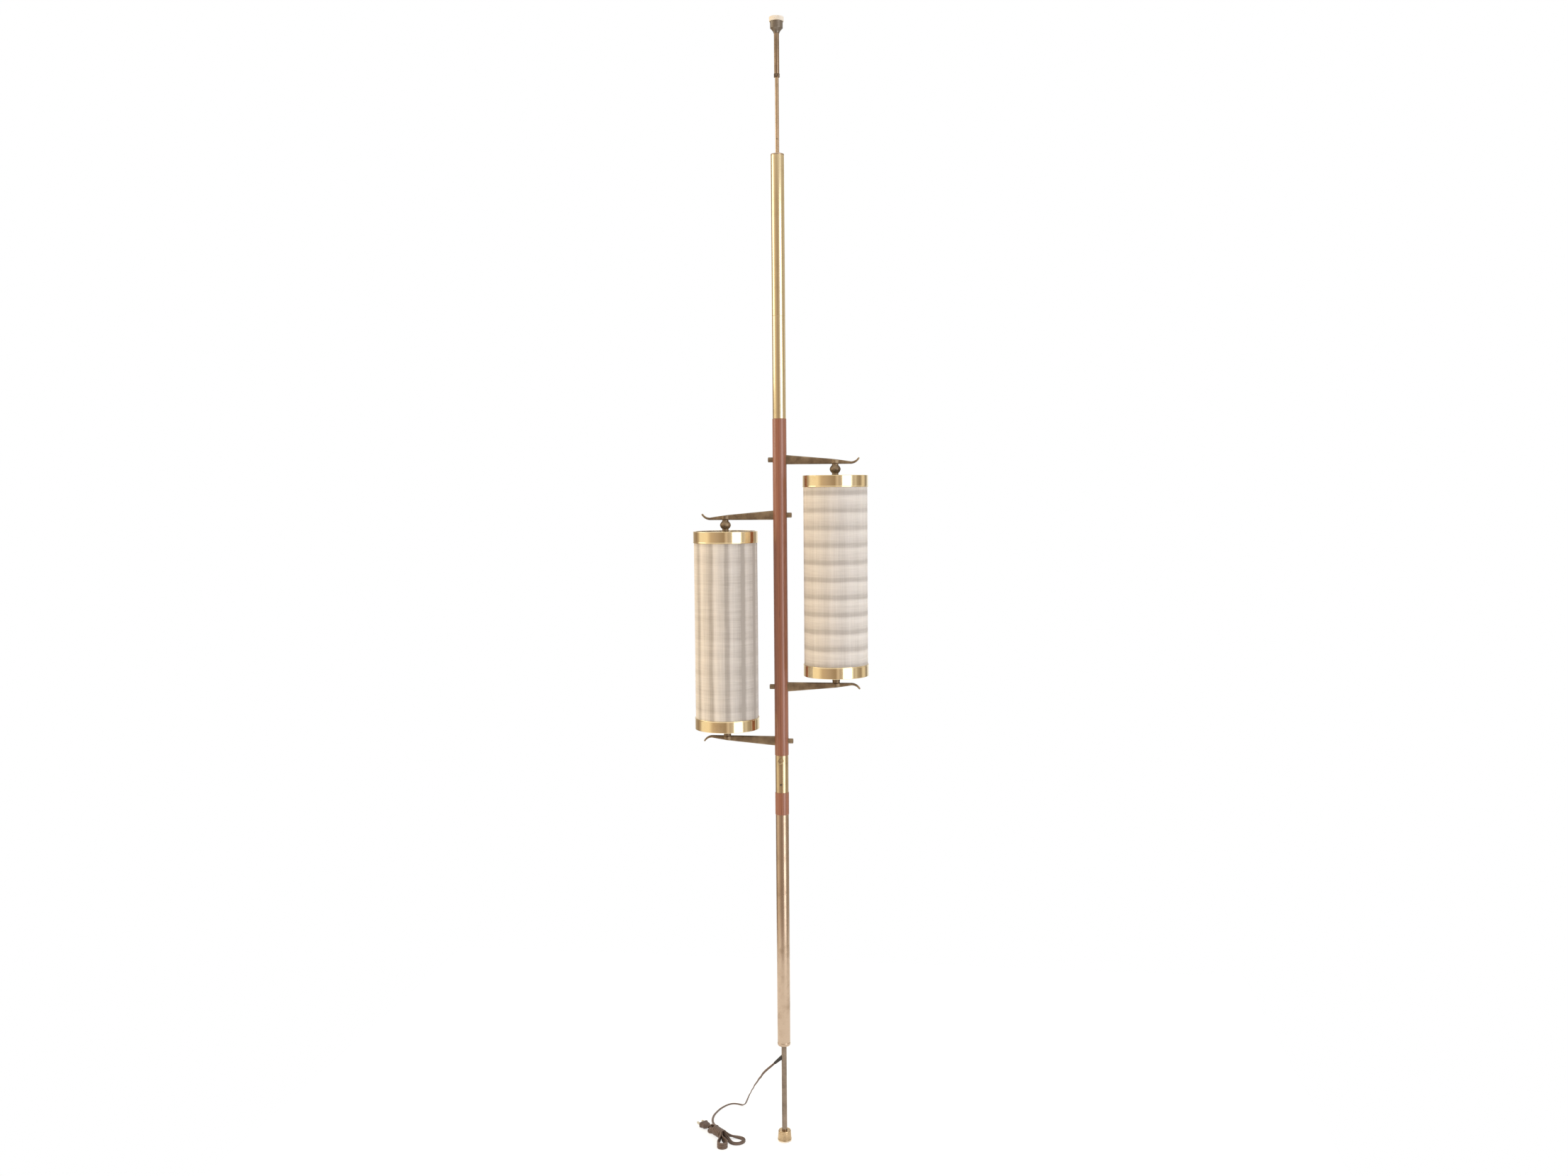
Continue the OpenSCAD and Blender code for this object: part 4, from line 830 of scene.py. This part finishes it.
def arm_form(side, level, up):
    """An arm as rounded-square sections. Along it, the flat edge runs straight and then round an arc,
    and the sloping edge falls in a straight line, then a parabola, to the tip's thickness."""
    straight = np.linspace(walnut_radius, arc_start, 70)
    bend = np.linspace(0, 1, 26)[1:]
    close = np.sin(np.linspace(0, pi / 2, 9))[1:]
    flat_x = np.concatenate([straight, arc_start + curl_radius * np.sin(curl_angle * bend)])
    flat_z = np.concatenate([0 * straight, curl_radius * (1 - np.cos(curl_angle * bend))])
    slope_z = (root_height - slope * (straight - walnut_radius)
               - sag * np.maximum(0, straight - sag_start) ** 2)
    thick = slope_z[-1] + (tip_thick - slope_z[-1]) * bend
    inner = curl_radius - thick
    slope_x = np.concatenate([straight, arc_start + inner * np.sin(curl_angle * bend)])
    slope_z = np.concatenate([slope_z, curl_radius - inner * np.cos(curl_angle * bend)])
    half_wide = root_half_wide - narrowing * flat_x / tip_reach
    boss = np.sqrt(np.maximum(0, boss_radius ** 2 - (flat_x - shade_reach) ** 2))
    half_wide = (half_wide ** boss_blend + boss ** boss_blend) ** (1 / boss_blend)
    # The tip closes in a quarter round
    tip_dir = np.array([np.cos(curl_angle), np.sin(curl_angle)])
    size = np.concatenate([np.ones(len(flat_x)), np.sqrt(1 - close ** 2 * tip_closed)])
    push = tip_thick * tip_round * close[:, None] * tip_dir
    mid = np.column_stack([(flat_x + slope_x) / 2, (flat_z + slope_z) / 2])
    half = np.column_stack([(slope_x - flat_x) / 2, (slope_z - flat_z) / 2])
    mid, half = np.vstack([mid, mid[-1] + push]), np.vstack([half, np.repeat(half[-1:], len(close), 0)])
    half_wide = np.concatenate([half_wide, np.full(len(close), half_wide[-1])]) * size
    half = half * size[:, None]
    angle = round_angles(40)
    lift, wide = squared(np.sin(angle), corner_square), squared(np.cos(angle), corner_square)
    x = mid[:, :1] + half[:, :1] * lift
    y = half_wide[:, None] * wide
    z = mid[:, 1:] + half[:, 1:] * lift
    # The first sections follow the round of the walnut
    cope = np.clip(1 - (x - walnut_radius) / cope_length, 0, 1)
    x = x - cope * (walnut_radius - np.sqrt(walnut_radius ** 2 - y ** 2))
    # Hands rub the edges and the curl
    rubbed = np.maximum(np.abs(lift * wide) ** 2,
                        np.clip((x - curl_rub_start) / curl_rub_reach, 0, 1) * curl_rub)
    return skin(points_of(side * x, side * up * y, level + up * z)), rubbed


arm_places = {word + "_upper_arm": (side, shade_tops[side] + over_shade, 1) for side, word in sides}
arm_places |= {word + "_lower_arm": (side, shade_tops[side] - shade_height - under_shade, -1)
               for side, word in sides}
for name, (side, level, up) in arm_places.items():
    form, rubbed = arm_form(side, level, up)
    piece(name + "_cast", form, antique_brass, "arm_brass", "pole", name, marks={"rubbed": rubbed})


# --- Arm nuts ---
# Round nuts, turned in the arms' brass. Each is screwed on an arm's stud, and so holds the arm from the far
# side of the walnut, to which it is coped.
def arm_nut(side, level):
    """A nut along X whose inner end is coped to the walnut, with a chamfered, slightly dished outer end."""
    radius = np.array([5.5, 5.5, 5.5, 5.35, 4.6, 4.3, 4.2, 2.6, 0.05])[:, None]
    reach = np.array([0, 3, 9.2, 9.7, 10.0, 10.0, 9.7, 9.6, 9.6])[:, None]
    angle = round_angles(64)
    y, z = radius * np.cos(angle), radius * np.sin(angle)
    x = np.where(reach > 0, walnut_radius + reach, np.sqrt(walnut_radius ** 2 - y ** 2))
    return skin(points_of(-side * x, y, level + z))


def antique(name, forms, rubbed, node):
    """Forms in antique brass that are rubbed alike all over, as one piece."""
    form = together(*forms)
    marks = {"rubbed": np.full(len(form[0]), rubbed)}
    piece(name, form, antique_brass, "arm_brass", "pole", node, marks=marks)


nuts = [arm_nut(side, level + up * root_height / 2) for side, level, up in arm_places.values()]
antique("arm_nuts_round", nuts, 0.5, "arm_nuts")


# --- Knuckles and spacers ---
# They are turned in the arms' brass and keep each shade off its arms: a bead under the upper arm, and a cup
# on the lower one. A pivot goes through each.
lip, turning_gap, pivot_bore = 0.9, 0.3, 4.81


def knuckle(side):
    """A bead whose radius rises and falls by a half sine between two narrow necks, over a thin flange."""
    low, high = shade_tops[side] - lip + turning_gap, shade_tops[side] + over_shade
    rise = np.linspace(0, 1, 26)
    neck_radius, belly, belly_start, belly_share, fullness = 6.9, 4.9, 0.16, 0.72, 0.8
    flange, flange_thick, bead_start = 8.4, 1.0, 1.6
    swell = np.sin(pi * np.clip((rise - belly_start) / belly_share, 0, 1)) ** fullness
    bead = [(neck_radius + belly * out, low + bead_start + (high - low - bead_start) * t)
            for out, t in zip(swell, rise)]
    return turned([(pivot_bore, low), (flange, low), (flange, low + flange_thick), *bead, (pivot_bore, high)],
                  0.5, x=side * shade_reach)


def spacer(side):
    """A cup whose radius grows as a power of its height, wide and flat under the shade, narrow on the arm."""
    bottom = shade_tops[side] - shade_height
    low, high = bottom - under_shade, bottom + lip - turning_gap
    cup = [(7.9 + 3.9 * t ** 2.2, low + 0.6 + (high - low - 2.8) * t) for t in np.linspace(0, 1, 14)]
    return turned([(pivot_bore, low), (8.2, low), *cup, (12.0, high - 1.6), (12.0, high), (pivot_bore, high)],
                  0.4, x=side * shade_reach)


antique("knuckles_turned", [knuckle(1), knuckle(-1)], 0.35, "knuckles")
antique("spacers_turned", [spacer(1), spacer(-1)], 0.35, "spacers")


# --- Pivots and their nuts ---
# Zinc-plated threaded pipe, from each upper arm, and rod, from each lower one, go through the shade's hubs,
# which turn on them. Chamfered hexagon nuts keep the hubs on.
dress(zinc_steel, "upper_pivots", "lower_pivots")


half_flats, half_corners = 7.36, 8.5


def hexagon(out, angle, height):
    """Facets for turned(): the rim follows a hexagon, and its corners are chamfered at both ends."""
    chamfer_slope, chamfer_start, bore_edge = 1.2, 1.3, 5
    flats = half_flats / np.cos((angle + pi / 6) % (pi / 3) - pi / 6)
    middle = (height.min() + height.max()) / 2
    chamfer = half_corners - chamfer_slope * np.maximum(0, np.abs(height - middle) - chamfer_start)
    return np.where(out > bore_edge, np.minimum(np.minimum(flats, chamfer), out), out)


def pivot_nut(side, low):
    """A hexagon nut on a shade's axis, as a round bar that hexagon() cuts."""
    rows = [(half_corners, low + step) for step in np.linspace(0, nut_height, 9)]
    return turned([(pivot_bore, low), *rows, (pivot_bore, low + nut_height)], 0.1, x=side * shade_reach,
                  sides=96, facets=hexagon)


hub_thick, nut_height = 3.6, 4
nut_inset = lip + hub_thick + turning_gap
socket_tops = {side: top - nut_inset - nut_height for side, top in shade_tops.items()}
nut_forms = [pivot_nut(side, low) for side, top in shade_tops.items()
             for low in (socket_tops[side], top - shade_height + nut_inset)]
piece("pivot_nuts_hexagon", together(*nut_forms), zinc_steel, "zinc_steel", "pole", "pivot_nuts", crease=25)


# --- Lampholders and bulbs ---
# Lampholders of pressed brass are screwed on the upper pivots with their mouths down. They carry soft
# white bulbs of blown glass.
socket_brass = brass("socket_brass", (0.78, 0.60, 0.32), (0.55, 0.40, 0.2), 0.2, 0.25, (0.02, 0.02, 1))
pearl = new_finish("bulb_pearl")
bulb_pearl = pearl.surface(
    base_color=pearl.mix(pearl.noise(20, 2), (0.93, 0.92, 0.88), (0.97, 0.96, 0.93)), roughness=0.16,
    subsurface_weight=0.15, subsurface_radius=(0.01, 0.01, 0.01), coat_weight=0.5, coat_roughness=0.08)
shell_reach, bulb_reach, globe_radius = 52, 84, 30
for side, word in sides:
    top = socket_tops[side]
    mouth = top - shell_reach
    shell = turned(
        [(13.6, mouth), (15.6, mouth), (16.3, mouth + 1), (15.6, mouth + 2), (15.3, mouth + 3),
         (15.6, top - 30), (15.6, top - 18), (16.5, top - 16.5), (16.5, top - 15), (15.7, top - 14),
         (15.4, top - 11), (13.6, top - 5), (10.5, top - 1.6), (8.4, top), (pivot_bore, top),
         (pivot_bore, top - 6), (10.5, top - 6), (13.6, top - 25)], 0.8, x=side * shade_reach)
    piece(word + "_socket_shell", shell, socket_brass, "socket_brass", "pole", word + "_socket")
    base = mouth + 1.7
    low = base - bulb_reach
    globe = [(globe_radius * cos(radians(angle)), low + globe_radius * (1 + sin(radians(angle))))
             for angle in range(-88, 41, 8)]
    glass = turned([(axis_hole, low), *globe, (16.6, base - 20), (15.2, base - 12), (14.6, base - 4),
                    (13.0, base - 2), (13.0, base + 21), (6.5, base + 25), (axis_hole, base + 25)], 1.5,
                   x=side * shade_reach, closed=False, sides=64)
    piece(word + "_bulb_pearl", glass, bulb_pearl, "bulb_glass", "pole", word + "_bulb")


# --- Shades ---
# Tall cylinders of woven cloth on stiff backing. The right one's stripes lie across it, the left one's
# run up it. One lapped seam at the back closes each.
fabric_radius, fabric_thick = 68.7, 1.2


def woven(name, side, across, along, painted_shade, pale, grey):
    """Cloth with dark stripes: across it they are rings, (pitch, height of one, how dark), and along it
    they stand round the axis, (count, angle of one, how dark). Threads and slubs give it its grain. The
    fourth argument is how much greyer the cloth is painted towards its right side: painted shade, where the
    pole and the other shade keep light off it."""
    cloth = new_finish(name)
    x, y, z = cloth.split(cloth.place(move=(-side * shade_reach / 1000, 0, 0)))
    angle = cloth.math("ARCTAN2", x, y * -1)
    wobble = (cloth.noise(11, 2) - 0.5) * 0.10

    def stripes(turns):
        """How dark the cloth is, from 0 to 1, along a repeat: a dark stripe with a soft side, a pale one
        next to its sharp side, and two half-dark steps between them."""
        steps = [(0, 1), (0.06, 0.92), (0.17, 0.12), (0.28, 0), (0.42, 0.1), (0.5, 0.22), (0.62, 0.24),
                 (0.7, 0.42), (0.79, 0.48), (0.89, 0.93), (1, 1)]
        return cloth.node("ValToRGB", {"stops": [(place, (shade,) * 3) for place, shade in steps]}, {
            "Fac": cloth.math("FRACT", turns + wobble)})

    pitch, place, ring_depth = across
    count, start, bar_depth = along
    whole_repeats = 20  # added to keep what FRACT reads over zero
    rings = stripes((place - z) / pitch + whole_repeats) * ring_depth
    bars = stripes((angle - start) * (count / tau) + whole_repeats) * bar_depth
    warp_count, weft_pitch = 360, 0.0012
    warp = 0.5 + 0.5 * cloth.math("SINE", angle * warp_count)
    weft = 0.5 + 0.5 * cloth.math("SINE", z * (tau / weft_pitch))
    slub_up = cloth.noise(520, 2, (1, 1, 0.03))
    slub_round = cloth.noise(520, 2, (0.05, 0.05, 1))
    streak_up = cloth.noise(150, 2, (1, 1, 0.012))
    streak_round = cloth.noise(150, 2, (0.02, 0.02, 1))
    threads = ((slub_up + slub_round - 1.0) * 0.45 + (streak_up + streak_round - 1.0) * 0.38
               - warp * weft * 0.12)
    # The cloth's grey share: stripes, threads, and a painted shade that greys its right side
    share = cloth.node("Math", {"operation": "ADD", "use_clamp": True}, {
        0: rings + bars, 1: threads + cloth.rise(x, 0.0, 0.06) * painted_shade + 0.12})
    return cloth.surface(
        base_color=cloth.mix(share, pale, grey), roughness=0.82, sheen_weight=0.2, sheen_roughness=0.5,
        subsurface_weight=0.12, subsurface_radius=(0.004, 0.003, 0.002), specular_ior_level=0.25,
        normal=cloth.relief(warp * 0.5 + weft * 0.5 + slub_up + slub_round, 0.0003, 0.6))


cloth_pale, cloth_grey, cloth_dark = (0.845, 0.80, 0.755), (0.52, 0.48, 0.445), (0.45, 0.41, 0.375)
right_cloth = woven("right_cloth", 1, (0.03676, 1.4366, 0.75), (12, radians(20), 0.16), 0, cloth_pale,
                    cloth_grey)
# The left shade's cloth is painted greyer on its right side, which faces the pole: painted shade
left_cloth = woven("left_cloth", -1, (0.0396, 1.2488, 0.13), (12, radians(12.1), 0.72), 0.36, cloth_pale,
                   cloth_dark)


def cloth_sleeve(side):
    """The cloth's outer and inner wall as one closed ring: a cylinder whose radius waves by a few
    hundredths of a millimetre, with a lapped seam that stands up at the back."""
    top, row_count = shade_tops[side] - lip, 90
    rows = np.linspace(top - shade_height + 2 * lip, top, row_count)
    walls = np.concatenate([rows, rows[::-1]])[:, None]
    inside = np.repeat([0, 1], row_count)[:, None]
    angle = round_angles(240)
    seam_at, seam_half, seam_height, band_reach, calm_reach = 90, 4.0, 0.35, 26, 30
    seam = np.exp(-((np.degrees(angle) - seam_at) / seam_half) ** 4)
    waves = 0.09 * np.sin(3 * angle + walls / 90) + 0.06 * np.sin(5 * angle - walls / 47)
    calm = np.clip((np.minimum(top - walls, walls - (top - shade_height)) - band_reach) / calm_reach, 0, 1)
    out = fabric_radius + calm * (waves + seam_height * seam * (1 - inside)) - inside * fabric_thick
    return skin(points_of(side * shade_reach + out * np.cos(angle), out * np.sin(angle), walls), True)


for (side, word), cloth in zip(sides, (right_cloth, left_cloth)):
    piece(word + "_shade_cloth", cloth_sleeve(side), cloth, word + "_fabric", word + "_shade_body",
          word + "_shade")


# --- Bands ---
# Bands of polished brass, rolled from strip, wrap both ends of each shade. One edge is beaded, and the
# other turns in over the cloth.
def band(side, low, up):
    """A band from its turned-in end at height low, upwards or downwards, as one closed profile."""
    outline = [(66.1, 0), (68.2, 0), (69.9, 0.2), (70.4, 1.0), (70.3, 2.2), (70.3, 23.0), (70.75, 23.7),
               (70.85, 24.6), (70.5, 25.4), (69.0, 25.4), (68.95, 24.0), (69.4, 23.0), (69.4, 0.9),
               (66.1, 0.9)]
    return turned([(r, low + up * z) for r, z in outline], 0.5, x=side * shade_reach, sides=160)


band_brass = brass("band_brass", (0.92, 0.76, 0.47), (0.78, 0.60, 0.34), 0.10, 0.15, (0.02, 0.02, 1))
for side, word in sides:
    top = shade_tops[side]
    for place, form in (("top", band(side, top, -1)), ("bottom", band(side, top - shade_height, 1))):
        piece(f"{word}_{place}_band_polished", form, band_brass, "band_brass", word + "_shade_body",
              f"{word}_{place}_band")


# --- Spiders ---
# A brass spider carries each end of a shade: a turned hub with three round spokes, whose ends are
# flattened on the band's lip.
def spider(side, face, up):
    """Hub and spokes that hang under a height where up is 1 and stand on it where up is -1. A spoke's round
    section gets wider and lower towards its end."""
    hub_bore, spoke_radius, spoke_wider, spoke_flatter, spoke_sink, end_sink = 4.86, 1.6, 0.9, 0.45, 1.62, 0.9
    hub = [(hub_bore, 0), (9.4, 0), (10, 0.6), (10, 3.0), (9.4, hub_thick), (hub_bore, hub_thick)]
    parts = [turned([(r, face - up * z) for r, z in hub], 0.25, x=side * shade_reach)]
    reach = np.linspace(8, 68, 40)[:, None]
    flat = np.clip((reach - 60) / 5, 0, 1)
    angle = round_angles(20)
    wide = spoke_radius * (1 + spoke_wider * flat) * np.cos(angle)
    tall = spoke_radius * (1 - spoke_flatter * flat) * np.sin(angle)
    sink = face - up * (spoke_sink - (spoke_sink - end_sink) * flat)
    for turn_by in np.radians([90, 210, 330]):
        x = side * shade_reach + reach * np.cos(turn_by) - wide * np.sin(turn_by)
        y = reach * np.sin(turn_by) + wide * np.cos(turn_by)
        parts.append(skin(points_of(x, y, sink + tall)))
    return together(*parts)


for side, word in sides:
    high, low = shade_tops[side] - lip, shade_tops[side] - shade_height + lip
    piece(word + "_spiders_brass", together(spider(side, high, 1), spider(side, low, -1)), socket_brass,
          "band_brass", word + "_shade_body", word + "_spiders")
